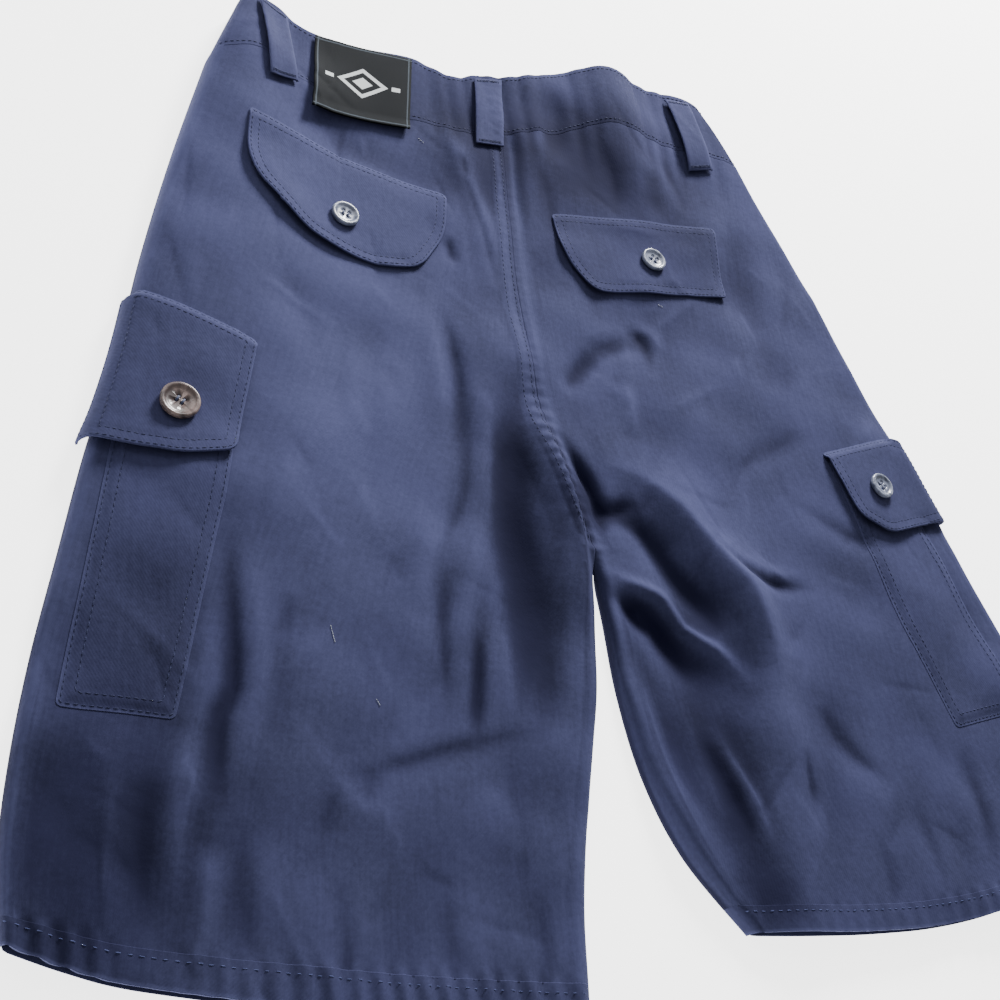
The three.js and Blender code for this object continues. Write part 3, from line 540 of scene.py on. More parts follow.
def twill(name, colours, rib_depth=0.06):
    material, tree, shader = new_material(name)
    cloth = add(tree, "ShaderNodeUVMap", {"uv_map": "cloth"}).outputs["UV"]
    place = add(tree, "ShaderNodeTexCoord").outputs["Object"]
    # Broad unevenness of the dye and the wash, a few centimetres across
    patches = add(tree, "ShaderNodeTexNoise", inputs={
        "Vector": place, "Scale": 22.0, "Detail": 3.0, "Roughness": 0.55}).outputs["Fac"]
    tone = add(tree, "ShaderNodeMapRange", inputs={
        "Value": patches, "From Min": 0.3, "From Max": 0.7}).outputs["Result"]
    base = add(tree, "ShaderNodeMix", {"data_type": "RGBA"}, {
        "Factor": tone, "A": linear(colours["deep"]), "B": linear(colours["middle"])}).outputs["Result"]
    # Streaks of single warp yarns, long down the cloth and a yarn wide across it
    stretch = add(tree, "ShaderNodeMapping", inputs={
        "Vector": cloth, "Scale": (1000 / YARN / 4, 1000 / YARN / 60, 1.0)}).outputs["Vector"]
    streak = add(tree, "ShaderNodeTexNoise", inputs={
        "Vector": stretch, "Scale": 1.0, "Detail": 4.0, "Roughness": 0.7}).outputs["Fac"]
    # Lint and worn high spots
    fuzz = add(tree, "ShaderNodeTexNoise", inputs={
        "Vector": place, "Scale": 420.0, "Detail": 3.0, "Roughness": 0.7}).outputs["Fac"]
    worn_and_painted_shading = add(tree, "ShaderNodeAttribute", {"attribute_name": "wear_and_painted_shading"}).outputs["Fac"]
    light = add(tree, "ShaderNodeMath", {"operation": "MULTIPLY_ADD"}, {
        0: streak, 1: 0.4, 2: -0.1}).outputs["Value"]
    speck = add(tree, "ShaderNodeMath", {"operation": "MULTIPLY_ADD", "use_clamp": True}, {
        0: fuzz, 1: 0.5, 2: light}).outputs["Value"]
    share = add(tree, "ShaderNodeMath", {"operation": "MULTIPLY"}, {0: speck, 1: 0.75}).outputs["Value"]
    # The point attribute mixes in the pale colour above 0, as wear and painted light, and the dark colour below 0, as
    # kept dye and painted shade
    edge = add(tree, "ShaderNodeMath", {"operation": "MULTIPLY_ADD", "use_clamp": True}, {
        0: worn_and_painted_shading, 1: 0.55, 2: share}).outputs["Value"]
    faded = add(tree, "ShaderNodeMix", {"data_type": "RGBA"}, {
        "Factor": edge, "A": base, "B": linear(colours["worn_and_painted_shading"])}).outputs["Result"]
    kept_dye_and_shade_share = add(tree, "ShaderNodeMath", {"operation": "MULTIPLY", "use_clamp": True}, {0: worn_and_painted_shading, 1: -1.0}).outputs["Value"]
    colour = add(tree, "ShaderNodeMix", {"data_type": "RGBA"}, {
        "Factor": kept_dye_and_shade_share, "A": faded, "B": linear(colours["kept_dye_and_painted_shade"])}).outputs["Result"]
    tree.links.new(colour, shader.inputs["Base Color"])
    shader.inputs["Roughness"].default_value = 0.9
    shader.inputs["Specular IOR Level"].default_value = 0.08
    shader.inputs["Sheen Weight"].default_value = 0.15
    shader.inputs["Sheen Roughness"].default_value = 0.45
    shader.inputs["Sheen Tint"].default_value = linear(colours["worn_and_painted_shading"])
    # The rib runs at 63 degrees to the weft; with it the bump has the crumple of washed cloth
    diagonal = add(tree, "ShaderNodeMapping", inputs={
        "Vector": cloth, "Rotation": (0.0, 0.0, math.radians(-27)), "Scale": (1.0, 1.0, 1.0)}).outputs["Vector"]
    rib = add(tree, "ShaderNodeTexWave", {"wave_type": "BANDS", "bands_direction": "X"}, {
        "Vector": diagonal, "Scale": 2 * math.pi * 1000 / TWILL_RIB / 20, "Distortion": 1.5,
        "Detail": 2.0, "Detail Scale": 2.0}).outputs["Fac"]
    crumple = add(tree, "ShaderNodeTexNoise", inputs={
        "Vector": place, "Scale": 75.0, "Detail": 4.0, "Roughness": 0.6}).outputs["Fac"]
    rib_bump = add(tree, "ShaderNodeBump", inputs={
        "Height": rib, "Strength": rib_depth, "Distance": 0.0004}).outputs["Normal"]
    soft_bump = add(tree, "ShaderNodeBump", inputs={
        "Height": crumple, "Normal": rib_bump, "Strength": 0.35, "Distance": 0.0012}).outputs["Normal"]
    tree.links.new(soft_bump, shader.inputs["Normal"])
    return material


body_twill = twill("washed navy cotton twill", TWILL_COLOURS)

# The two back panels: one piece of twill each, from waist to hem, with every fold of the way
# that the shorts lie.

CLOTH_WALL = 1.0
HEM_SEAM = 1 - HEM_SHARE
LEG_LENGTH = 460
SEAM_LAP = 0.6
BACK_GRID = (286, 164)
PANEL_FLAT = {"left": (0.262, 0.475), "right": (0.290, 0.462)}


def leg_columns(leg, v, count):
    """Shares across a leg at each row, from the bottom of one curl to that of the other"""
    west, east, west_open, east_open = sides(leg, v)
    width = np.hypot(*(east - west).T)
    spare = SIDE_CURL - SIDE_ROUND
    start, end = -spare * west_open / width, 1 + spare * east_open / width
    t = np.linspace(0, 1, count + 1)
    return start[:, None] + (end - start)[:, None] * t, width


def spaced(start, end, count, margin):
    """Even values with one more close to each end, which keeps the edge of a shell crisp"""
    return np.concatenate([[start], np.linspace(start + margin, end - margin, count - 1), [end]])


def leg_grid(leg, start, end, rows, columns, step=0.0):
    """Points over a leg between two shares of its length, and their place on the flat cloth"""
    v = spaced(start, end, rows, 0.3 / LEG_LENGTH)
    u, width = leg_columns(leg, v, columns)
    points = leg_surface(leg, u, v[:, None], step)
    across = u * width[:, None]
    down = np.broadcast_to(v[:, None] * LEG_LENGTH, u.shape)
    return points, across, down


# Where the cloth is paler or darker: partly fading from washing and sun and dye that it keeps,
# partly painted light on the left seat and thigh and painted shade in hollows, as between the legs.
# x, y, radius along x, radius along y, and wear
FADES_AND_PAINTED_SHADING = [
    (-112, -245, 52, 95, 0.62), (-165, -110, 45, 60, 0.28), (-100, -120, 40, 40, 0.12),
    (-16, -66, 34, 42, -0.4), (50, -56, 52, 36, -0.62), (20, -120, 30, 40, -0.12), (100, -100, 45, 50, -0.22),
    (-40, -300, 15, 80, -0.5), (-8, -318, 11, 60, -0.30), (4, -284, 11, 18, -0.75), (24, -292, 16, 9, -0.5),
    (30, -352, 26, 16, -0.42), (36, -410, 22, 40, -0.40), (54, -440, 12, 40, -0.3), (-222, -440, 36, 54, -0.45),
    (-195, -350, 30, 50, -0.18), (-70, -372, 26, 40, -0.2), (-60, -260, 12, 40, -0.12), (100, -290, 50, 30, 0.12),
    (120, -350, 40, 36, 0.06), (-250, -470, 20, 50, -0.25), (64, -482, 14, 12, -0.5),
]


def faded(x, y):
    """Broad paler and darker patches at places in plan: fading and kept dye, with painted light and painted shade"""
    return sum(w * np.exp(-((x - cx) / rx) ** 2 - ((y - cy) / ry) ** 2) for cx, cy, rx, ry, w in FADES_AND_PAINTED_SHADING)


def side_wear_and_painted_shade(points, across, width):
    """Near the sides of a leg: paler abrasion on the turn of the fold, and below it, where the cloth lies low by the
    floor, painted shade
    """
    inset = np.minimum(across, width[:, None] - across)
    # Darker where the cloth lies low by the floor at the sides: painted shade
    low = 1 - smooth(0.5, 5, points[..., 2])
    return 0.35 * np.exp(-(((inset - 7) / 2.5) ** 2)) - low * (inset < 20)


def fold_fading_and_painted_shading(height, reach=7):
    """Paler on raised folds and darker in creases: painted light on the folds and painted shade in the creases, partly
    standing for the fading that washing leaves
    """
    around = height
    for axis in (0, 1):
        padded = np.concatenate([np.repeat(around.take([0], axis), reach, axis), around,
                                 np.repeat(around.take([-1], axis), reach, axis)], axis)
        sums = np.cumsum(padded, axis)
        count = height.shape[axis]
        late = sums.take(range(2 * reach, 2 * reach + count), axis)
        early = sums.take(range(0, count), axis)
        around = (late - early) / (2 * reach)
    # Paler above the blurred height as painted light, darker below it as painted shade
    return np.clip(0.3 * (height - around), -0.55, 0.3)


for leg in ("left", "right"):
    points, across, down = leg_grid(leg, 0.0, HEM_SEAM, *BACK_GRID)
    width = np.hypot(*np.subtract(*sides(leg, spaced(0, HEM_SEAM, BACK_GRID[0], 0.3 / LEG_LENGTH))[:2]).T)
    # Abrasion and fading, with painted light on raised folds and painted shade in creases, in hollows and low by the
    # floor
    wear_and_painted_shading = side_wear_and_painted_shade(points, across, width) + faded(points[..., 0], points[..., 1])
    wear_and_painted_shading = wear_and_painted_shading + fold_fading_and_painted_shading(points[..., 2]) * (across > 12) * (across < width[:, None] - 12)
    grid_piece(f"back_{leg}", points, across, down, body_twill, CLOTH_WALL, wear_and_painted_shading)
    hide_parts(f"back_{leg}_panel")
    wide, long = PANEL_FLAT[leg]

# The hems: the leg's end turned up and stitched down, drawn into small puckers by the thread

HEM_WALL = 1.6
HEM_STEP = 0.06
HEM_GRID = (14, 300)
HEM_FLAT = {"left": (0.240, 0.0185), "right": (0.250, 0.0125)}
for leg in ("left", "right"):
    points, across, down = leg_grid(leg, HEM_SEAM - SEAM_LAP / LEG_LENGTH, 1.0, *HEM_GRID, HEM_STEP)
    share = (down - down.min()) / (down.max() - down.min())
    # Paler at the hem's fold as wear; the broad patches add painted light and painted shade
    wear_and_painted_shading = smooth(0.8, 1.0, share) * 0.5 + faded(points[..., 0], points[..., 1])
    grid_piece(f"hem_back_{leg}", points, across, down, body_twill, HEM_WALL, wear_and_painted_shading)
    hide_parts(f"back_{leg}_hem")
    wide, long = HEM_FLAT[leg]

# The waistband's back half: a double strip of twill round an elastic, gathered by it

BAND_LENGTH = 320
BAND_WALL = 1.8
BAND_STEP = 0.08
BAND_GRID = (24, 300)
WAIST_TOP = [
    (-154, 3), (-141, 5), (-124, -3), (-113, -6), (-90, -7), (-54, -6), (-29, -12), (-13, -7),
    (10, -3), (37, 6), (51, 12), (68, 16), (84, 17), (99, 15), (116, 15), (134, 14), (148, 7),
]


def band_plan(along, down):
    """Plan of the waistband at shares of its length from west and of its width from the top"""
    top = spline(WAIST_TOP, along)
    west = spline(WAIST_SEAM["left"], along * 2)
    east = spline(WAIST_SEAM["right"], along * 2 - 1)
    seam = np.where((along < 0.5)[..., None], west, east) - (0, SEAM_LAP)
    return mix(top, seam, down[..., None])


def band_surface(along, down, step=BAND_STEP):
    """Top of the back waistband; past each end it runs on down its curl"""
    along, down = np.broadcast_arrays(np.asarray(along, float), np.asarray(down, float))
    plan_west, share_west = turned(along * BAND_LENGTH, 1.0)
    plan_east, share_east = turned((1 - along) * BAND_LENGTH, 1.0)
    at = along + (plan_west - along * BAND_LENGTH) / BAND_LENGTH
    at = at - (plan_east - (1 - along) * BAND_LENGTH) / BAND_LENGTH
    plan = band_plan(at, down)
    height = (cloth_height(plan[..., 0], plan[..., 1]) + step) * share_west * share_east
    return np.concatenate([plan, height[..., None]], -1)


spare = (SIDE_CURL - SIDE_ROUND) / BAND_LENGTH
along, down = np.meshgrid(np.linspace(-spare, 1 + spare, BAND_GRID[1] + 1), spaced(0, 1, BAND_GRID[0], 0.007))
band_points = band_surface(along, down)
# Paler along the top fold as wear; the broad patches add painted light and painted shade
waistband_back = grid_piece(
    "waistband_back_shell", band_points, along * BAND_LENGTH, down * BAND_WIDTH, body_twill, BAND_WALL,
    (1 - smooth(0, 0.08, down)) * 0.4 + 1.2 * faded(band_points[..., 0], band_points[..., 1]) - 0.08)
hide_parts("waistband_back")

# Patches of cloth laid on a leg. Each is cut to an outline of rounded corners and follows the
# cloth under it; its edge is folded under, so it is soft and round.

EDGE_ROUND = 0.7
EDGE_RINGS = (0.2, 0.5, 0.9, 1.5)
PATCH_STEP = 1.7


def even(line, spacing, closed=False):
    """A line of points again, evenly spaced"""
    line = np.array(line, float)
    if closed:
        line = np.vstack([line, line[:1]])
    lengths = np.concatenate([[0], np.cumsum(np.hypot(*np.diff(line[:, :2], axis=0).T))])
    count = max(int(round(lengths[-1] / spacing)), 2)
    at = np.linspace(0, lengths[-1], count + 1)
    points = np.stack([np.interp(at, lengths, line[:, i]) for i in range(line.shape[1])], -1)
    return points[:-1] if closed else points


def rounded(corners, spacing=1.0):
    """Closed outline through corners, each given with the radius that rounds it"""
    points = []
    t = np.linspace(0, 1, 9)[:, None]
    for i, (x, y, radius) in enumerate(corners):
        here = np.array((x, y), float)
        ways = [np.array(other[:2], float) - here for other in (corners[i - 1], corners[(i + 1) % len(corners)])]
        start, end = (here + way / np.linalg.norm(way) * radius for way in ways)
        points.append((1 - t) ** 2 * start + 2 * t * (1 - t) * here + t * t * end)
    return even(np.concatenate(points), spacing, closed=True)


def inset(outline, distance):
    """An outline's points moved inward, without those that fall too near another side"""
    tangent = np.roll(outline, -1, 0) - np.roll(outline, 1, 0)
    inward = np.stack([-tangent[:, 1], tangent[:, 0]], -1)
    moved = outline + inward / np.linalg.norm(inward, axis=1, keepdims=True) * distance
    edge, _ = near_line(np.vstack([outline, outline[:1]]), *moved.T)
    return moved[edge > distance * 0.93]


def patch_mesh(outline, step=PATCH_STEP, ring_insets=EDGE_RINGS):
    """Places in plan that fill an outline, their triangles, and their distance from its edge"""
    low, high = outline.min(0), outline.max(0)
    rows = np.arange(low[1], high[1], step * 0.866)
    columns = np.arange(low[0], high[0], step)
    x = columns[None, :] + np.where(np.arange(len(rows)) % 2, step / 2, 0)[:, None]
    grid = np.stack([x.ravel(), np.repeat(rows, len(columns))], -1)
    rings = [inset(outline, distance) for distance in ring_insets]
    closed = np.vstack([outline, outline[:1]])
    crossings = np.zeros(len(grid), int)
    for (ax, ay), (bx, by) in zip(closed[:-1], closed[1:]):
        if ay != by:
            spans = (ay > grid[:, 1]) != (by > grid[:, 1])
            crossings += spans & (grid[:, 0] < ax + (bx - ax) * (grid[:, 1] - ay) / (by - ay))
    grid = grid[crossings % 2 == 1]
    edge, _ = near_line(closed, *grid.T)
    grid = grid[edge > max(ring_insets, default=0) + step * 0.4]
    points = np.concatenate([outline, *rings, grid])
    count = len(outline)
    loop = [(i, (i + 1) % count) for i in range(count)]
    flat, _, faces, _, _, _ = delaunay_2d_cdt([Vector(p) for p in points], loop, [list(range(count))], 1, 1e-6)
    places = np.array([(p.x, p.y) for p in flat])
    edge, _ = near_line(closed, *places.T)
    return places, faces, edge


def edge_drop(distance):
    """How far a folded edge falls away at a distance from its end"""
    t = np.clip(distance / EDGE_ROUND, 0, 1)
    return EDGE_ROUND * (1 - np.sqrt(1 - (1 - t) ** 2))


TUCK = 2.3


def kept_on(leg, x, y):
    """Shares of places on a leg, none further down the turn of a side than a seam lies"""
    u, v = leg_shares(leg, x, y)
    west, east, _, _ = sides(leg, v)
    past = TUCK / np.hypot(*(east - west).T)
    return np.clip(u, -past, 1 + past), v


def laid_patch(name, node, leg, corners, form, flat_size, material=body_twill):
    """A patch laid on a leg: form has its gap, its wall and a function for its rise"""
    outline = rounded(corners)
    outline = even(leg_plan(leg, *kept_on(leg, *outline.T)), 1.0, closed=True)
    places, faces, edge = patch_mesh(outline)
    x, y = places.T

    def top(x, y, out=0.0):
        distance, _ = near_line(np.vstack([outline, outline[:1]]), x, y)
        groove = form["groove"] * np.exp(-(((distance - form["stitch"]) / 1.1) ** 2))
        sunk = (form["gap"] + form["wall"] - 0.25) * (1 - smooth(0, 5, form["sewn"](x, y)))
        rise = form["rise"](x, y, distance) - groove - np.maximum(edge_drop(distance), sunk)
        return leg_lay(leg, *kept_on(leg, x, y), form["gap"] + form["wall"] + rise + out)

    # Paler along the folded edge as wear; the broad patches add painted light and painted shade
    wear_and_painted_shading = 0.35 * np.exp(-((edge / 1.3) ** 2)) + faded(x, y)
    piece = shell(name, top(x, y), faces, places, material, form["wall"], wear_and_painted_shading)
    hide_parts(node)
    width, length, share = flat_size
    return piece, top, outline


def bumps(table):
    """Sum of round rises: x, y, radius and height of each"""
    def rise(x, y):
        return sum(height * np.exp(-((x - cx) ** 2 + (y - cy) ** 2) / radius ** 2) for cx, cy, radius, height in table)
    return rise


def sewn_edge(corners):
    """Distance of places from the edge, given by its corners, that is sewn down"""
    line = np.array([corner[:2] for corner in corners], float)
    return lambda x, y: near_line(line, x, y)[0]


# Back pocket flaps: two layers of twill, topstitched, buttoned, with edges that curl up a little

BACK_FLAPS = {
    "left": {
        "corners": [
            (-155, -80, 3), (-159, -116, 16), (-136, -145, 14), (-100, -161, 18),
            (-68, -158, 10), (-50, -132, 10), (-45, -103, 3),
        ],
        "lifts": [(-158, -112, 17, 2.6), (-142, -138, 16, 3.0), (-118, -152, 16, 2.0), (-72, -158, 18, 0.8),
                  (-92, -112, 12, -0.3), (-128, -112, 9, 0.5), (-72, -128, 10, 0.5)],
    },
    "right": {
        "corners": [(20, -101, 3), (20, -132, 12), (34, -154, 8), (127, -141, 3), (131, -90, 3)],
        "lifts": [(18, -128, 15, 2.2), (34, -154, 13, 2.0), (70, -148, 14, 1.4), (127, -142, 13, 1.6),
                  (52, -118, 11, 0.5), (105, -112, 11, 0.5)],
    },
}
FLAP_WALL = 1.1
flap_tops = {}
flap_outlines = {}
for leg, flap in BACK_FLAPS.items():
    lift, sewn = bumps(flap["lifts"]), sewn_edge([flap["corners"][-1], flap["corners"][0]])
    form = {
        "gap": SEAM_GAP, "wall": FLAP_WALL, "stitch": 5.5, "groove": 0.22, "sewn": sewn,
        "rise": lambda x, y, d, lift=lift, sewn=sewn: lift(x, y) * smooth(2, 26, sewn(x, y)),
    }
    piece, flap_tops[leg], flap_outlines[leg] = laid_patch(
        f"back_flap_{leg}", f"back_{leg}_flap", leg, flap["corners"], form,
        (0.113, 0.075, 0.75))

# Cargo pockets: bags stitched on at three sides over the outer seams, with flaps over them

CARGO = {
    "left": {
        "pocket": [(-212, -210, 3), (-248, -396, 3), (-203, -402, 3), (-178, -303, 4), (-164, -228, 3)],
        "puffs": [(-206, -330, 26, 1.2), (-226, -378, 16, 0.9), (-196, -292, 16, 0.6), (-214, -352, 12, -0.7)],
        "flap": [(-216.5, -197, 2), (-237, -279, 2), (-197, -285, 6), (-173, -281, 6), (-159, -219, 2)],
        "lifts": [(-232, -282, 14, 1.6), (-205, -286, 14, 1.8), (-176, -280, 11, 1.0), (-186, -236, 12, 0.6)],
        "pocket_flat": (0.052, 0.190, 0.92), "flap_flat": (0.078, 0.086, 0.78),
    },
    "right": {
        "pocket": [(166, -246, 3), (185, -347, 4), (202, -401, 3), (254, -390, 3), (224, -286, 4), (212, -236, 3)],
        "puffs": [(212, -340, 22, 1.1), (232, -380, 16, 0.8), (200, -310, 16, 0.5)],
        "flap": [(163, -242, 2), (174, -283, 6), (193, -291, 6), (242.5, -277, 2), (229, -229, 2), (212, -227, 2)],
        "lifts": [(176, -284, 13, 1.8), (200, -290, 12, 1.4), (160, -262, 12, 1.2)],
        "pocket_flat": (0.056, 0.158, 0.92), "flap_flat": (0.078, 0.062, 0.85),
    },
}
POCKET_WALL = 0.9
POCKET_OUT = 1.8
CARGO_FLAP_GAP = SEAM_GAP + POCKET_OUT + SEAM_GAP
for leg, cargo in CARGO.items():
    puff, lift = bumps(cargo["puffs"]), bumps(cargo["lifts"])
    under = 75 - cargo["pocket"][0][1]
    form = {
        "gap": SEAM_GAP, "wall": POCKET_WALL, "stitch": 3.0, "groove": 0.3,
        "sewn": sewn_edge(cargo["pocket"]),
        "rise": lambda x, y, d, puff=puff, under=under: (
            puff(x, y) * smooth(2, 14, d) * smooth(under - 12, under + 8, -y)),
    }
    piece, flap_tops[f"pocket_{leg}"], flap_outlines[f"pocket_{leg}"] = laid_patch(
        f"cargo_pocket_{leg}", f"cargo_{leg}_pocket", leg, cargo["pocket"], form,
        cargo["pocket_flat"])
    sewn = sewn_edge([cargo["flap"][-1], cargo["flap"][0]])
    form = {
        "gap": CARGO_FLAP_GAP, "wall": FLAP_WALL, "stitch": 5.5, "groove": 0.22, "sewn": sewn,
        "rise": lambda x, y, d, lift=lift, sewn=sewn: lift(x, y) * smooth(2, 26, sewn(x, y)),
    }
    piece, flap_tops[f"cargo_{leg}"], flap_outlines[f"cargo_{leg}"] = laid_patch(
        f"cargo_flap_{leg}", f"cargo_{leg}_flap", leg, cargo["flap"], form,
        cargo["flap_flat"])

# The front, which lies under the back: two panels with a fly placket, their hems, its half of
# the waistband and two belt loops, flat on the floor with faint creases

FRONT_DROP = 10
FRONT_CLEARANCE = 0.5
FRONT_SIDE_SHARE = 0.04
FRONT_WALL = 1.0
FRONT_TOP = 1.2
FRONT_STEP = 5.0
FLY = {"west": -42, "bottom": -205, "round": 22}
FRONT_FLAT = {"left": (0.246, 0.448), "right": (0.262, 0.448)}
FRONT_HEM_FLAT = {"left": (0.228, 0.0155), "right": (0.236, 0.0115)}


def front_edge(leg, side, start, end, wall):
    """One side of a front layer, from the waist down"""
    v = np.linspace(start, end, max(int((end - start) * 90), 3))
    west, east, west_open, east_open = sides(leg, v)
    edge, opening = (west, west_open) if side == "west" else (east, east_open)
    way = 1 if side == "west" else -1
    return edge + np.stack([way * (wall + FRONT_CLEARANCE) * opening, 0 * v], -1)


def front_across(leg, v):
    """A cross edge of a front layer, from west to east"""
    u = np.linspace(FRONT_SIDE_SHARE, 1 - FRONT_SIDE_SHARE, 41)
    return leg_plan(leg, u, np.full(u.shape, v))


def front_creases(x, y):
    """Faint unevenness of the front cloth"""
    return np.clip(0.3 * (swells(x + 400, y) + fold_heights(ALL_CREASES[-RUMPLES["count"]:], x, y)), -0.14, 0.14)


def front_piece(name, node, outline, flat_size):
    """A flat cloth piece of the front, filled from its outline"""
    places, faces, _ = patch_mesh(outline, FRONT_STEP, ())
    x, y = places.T
    points = np.stack([x, y, FRONT_TOP + front_creases(x, y)], -1)
    piece = shell(name, points, faces, places, body_twill, FRONT_WALL, np.zeros(len(x)))
    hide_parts(node)
    return piece


front_top = (FRONT_DROP - 5) / LEG_LENGTH
hem_gap = SEAM_GAP / LEG_LENGTH
for leg in ("left", "right"):
    west = front_edge(leg, "west", front_top, HEM_SEAM - hem_gap, CLOTH_WALL)
    east = front_edge(leg, "east", front_top, HEM_SEAM - hem_gap, CLOTH_WALL)[::-1]
    low, high = front_across(leg, HEM_SEAM - hem_gap), front_across(leg, front_top)[::-1]
    if leg == "left":
        # The fly placket runs down beside the centre front seam, with a rounded lower corner
        bend = np.linspace(0, 1, 9)[:, None]
        corner = np.array([(FLY["west"], FLY["bottom"])], float)
        start, end = corner + (0, FLY["round"]), corner + (FLY["round"], 0)
        bend = (1 - bend) ** 2 * start + 2 * bend * (1 - bend) * corner + bend * bend * end
        top_y = np.interp(FLY["west"], high[::-1, 0], high[::-1, 1])
        seam_x = np.interp(FLY["bottom"], east[:, 1], east[:, 0])
        placket = np.vstack([[(FLY["west"], top_y)], bend, [(seam_x, FLY["bottom"])]])
        east_above = east[east[:, 1] > FLY["bottom"] + 1]
        high_east = high[high[:, 0] > FLY["west"] + 1]
        fly_outline = even(np.vstack([placket, east_above, high_east]), 3.0, closed=True)
        front_piece("fly", "fly_placket", fly_outline, (0.038, 0.160, 0.95))
        cut = placket[::-1] - (SEAM_GAP, SEAM_GAP)
        cut[0, 0] += SEAM_GAP
        east = np.vstack([east[east[:, 1] < FLY["bottom"] - 1], cut])
        high = high[high[:, 0] < FLY["west"] - 1]
    panel_outline = even(np.vstack([west, low, east, high]), 3.0, closed=True)
    front_piece(f"front_{leg}", f"front_{leg}_panel", panel_outline, (*FRONT_FLAT[leg], 0.82))
    west = front_edge(leg, "west", HEM_SEAM + hem_gap, 1, HEM_WALL)
    east = front_edge(leg, "east", HEM_SEAM + hem_gap, 1, HEM_WALL)[::-1]
    low, high = front_across(leg, 1.0), front_across(leg, HEM_SEAM + hem_gap)[::-1]
    hem_outline = even(np.vstack([west, low, east, high]), 2.0, closed=True)
    front_piece(f"hem_front_{leg}", f"front_{leg}_hem", hem_outline, (*FRONT_HEM_FLAT[leg], 0.92))

FRONT_BAND_TOP = 3.1
share = 6 / BAND_LENGTH
along, down = np.meshgrid(np.linspace(share, 1 - share, 121), np.linspace(0, 1, 13))
plan = band_plan(along, down) - (0, FRONT_DROP)
height = FRONT_BAND_TOP + front_creases(plan[..., 0], plan[..., 1])
waistband_front = grid_piece(
    "waistband_front_shell", np.concatenate([plan, height[..., None]], -1), along * BAND_LENGTH,
    down * BAND_WIDTH, body_twill, 1.5)
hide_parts("waistband_front")

for number, x in enumerate((-78, 70), 1):
    start = band_plan(np.array([x / BAND_LENGTH + 0.5]), np.array([0.9]))[0, 1] - FRONT_DROP
    across, down = np.meshgrid(np.linspace(0, 16, 9), np.linspace(0, 29, 15))
    plan_x, plan_y = x + across, start + 34 - down
    height = FRONT_TOP - edge_drop(np.minimum(across, 16 - across))
    loop = grid_piece(f"loop_front_{number}", np.stack([plan_x, plan_y, height], -1), across, down, body_twill, 0.9)
    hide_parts(f"belt_loop_front_{number}")

# Belt loops: folded strips of twill, tacked at both ends, that bridge the gathered waistband

LOOP_WALL = 1.2
LOOP_GRID = (40, 12)
LOOPS = {
    "left": {"corners": [(-144, 1), (-128, -6), (-126, -52), (-143, -55)], "arch": 1.2, "tilt": 0.8},
    "centre": {"corners": [(-15, -11), (3, -8), (-4, -60), (-22, -62)], "arch": 1.2, "tilt": 0.2},
    "right": {"corners": [(119, 9), (136, 9), (141, -44), (124, -47)], "arch": 1.8, "tilt": 1.6},
}


def quad_plan(corners, across, down):
    """Plan of a strip between four corners, its top edge first"""
    top_west, top_east, low_east, low_west = (np.array(corner, float) for corner in corners)
    a, d = across[..., None], down[..., None]
    return mix(mix(top_west, top_east, a), mix(low_west, low_east, a), d)


def bridge(corners, across, down, reach, lift, gap=0.4):
    """Points of a strip that clears the highest cloth within its reach"""
    plan = quad_plan(corners, across, down)
    x, y = plan[..., 0], plan[..., 1]
    around = [(0, 0), (reach, 0), (-reach, 0), (0, reach), (0, -reach)]
    under = np.max([cloth_height(x + dx, y + dy) for dx, dy in around], 0)
    return np.concatenate([plan, (under + BAND_STEP + gap + lift)[..., None]], -1)


loop_tops = {}
for name, loop in LOOPS.items():
    across, down = np.meshgrid(spaced(0, 1, LOOP_GRID[1], 0.02), spaced(0, 1, LOOP_GRID[0], 0.006))

    def loop_top(across, down, out=0.0, loop=loop):
        edge = 17 * np.minimum(across, 1 - across)
        arch = loop["arch"] * np.sin(math.pi * np.clip(down, 0, 1)) ** 0.6
        side = loop["tilt"] * (1 - across) * np.sin(math.pi * np.clip(down, 0, 1)) ** 0.6
        return bridge(loop["corners"], across, down, 2.5, LOOP_WALL + arch + side - edge_drop(edge) + out)

    loop_tops[name] = loop_top
    piece = grid_piece(f"loop_{name}", loop_top(across, down), across * 17, down * 55, body_twill, LOOP_WALL,
                       0.25 * np.exp(-((17 * np.minimum(across, 1 - across) / 1.5) ** 2)))
    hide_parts(f"belt_loop_{name}")

# The label: a woven patch with a dark satin ground, a fine pale border and a plain lozenge

LABEL_CORNERS = [(-111, -9), (-54, -9), (-62, -63), (-120, -67)]
LABEL_SIZE = (57, 56)
LABEL_WALL = 0.8
LABEL_GRID = (60, 60)
LABEL_COLOURS = {"ground": 0x07080A, "pale": 0xC8CCCE, "edge": 0x59626C}


def woven_label():
    material, tree, shader = new_material("woven damask label")
    cloth = add(tree, "ShaderNodeUVMap", {"uv_map": "cloth"}).outputs["UV"]
    parts = add(tree, "ShaderNodeSeparateXYZ", inputs={"Vector": cloth})

    def math_node(operation, a, b=0.0, clamp=False):
        return add(tree, "ShaderNodeMath", {"operation": operation, "use_clamp": clamp}, {0: a, 1: b}).outputs["Value"]

    # Millimetres from the middle of the label
    x = math_node("ABSOLUTE", math_node("MULTIPLY", parts.outputs["X"], 1000.0))
    y = math_node("ABSOLUTE", math_node("MULTIPLY", parts.outputs["Y"], 1000.0))
    return material, tree, shader, x, y, math_node


label_material, tree, shader, from_middle_x, from_middle_y, math_node = woven_label()


def band_of(value, low, high):
    """1 where a value lies between two bounds"""
    above = math_node("GREATER_THAN", value, low)
    return math_node("MULTIPLY", above, math_node("LESS_THAN", value, high))


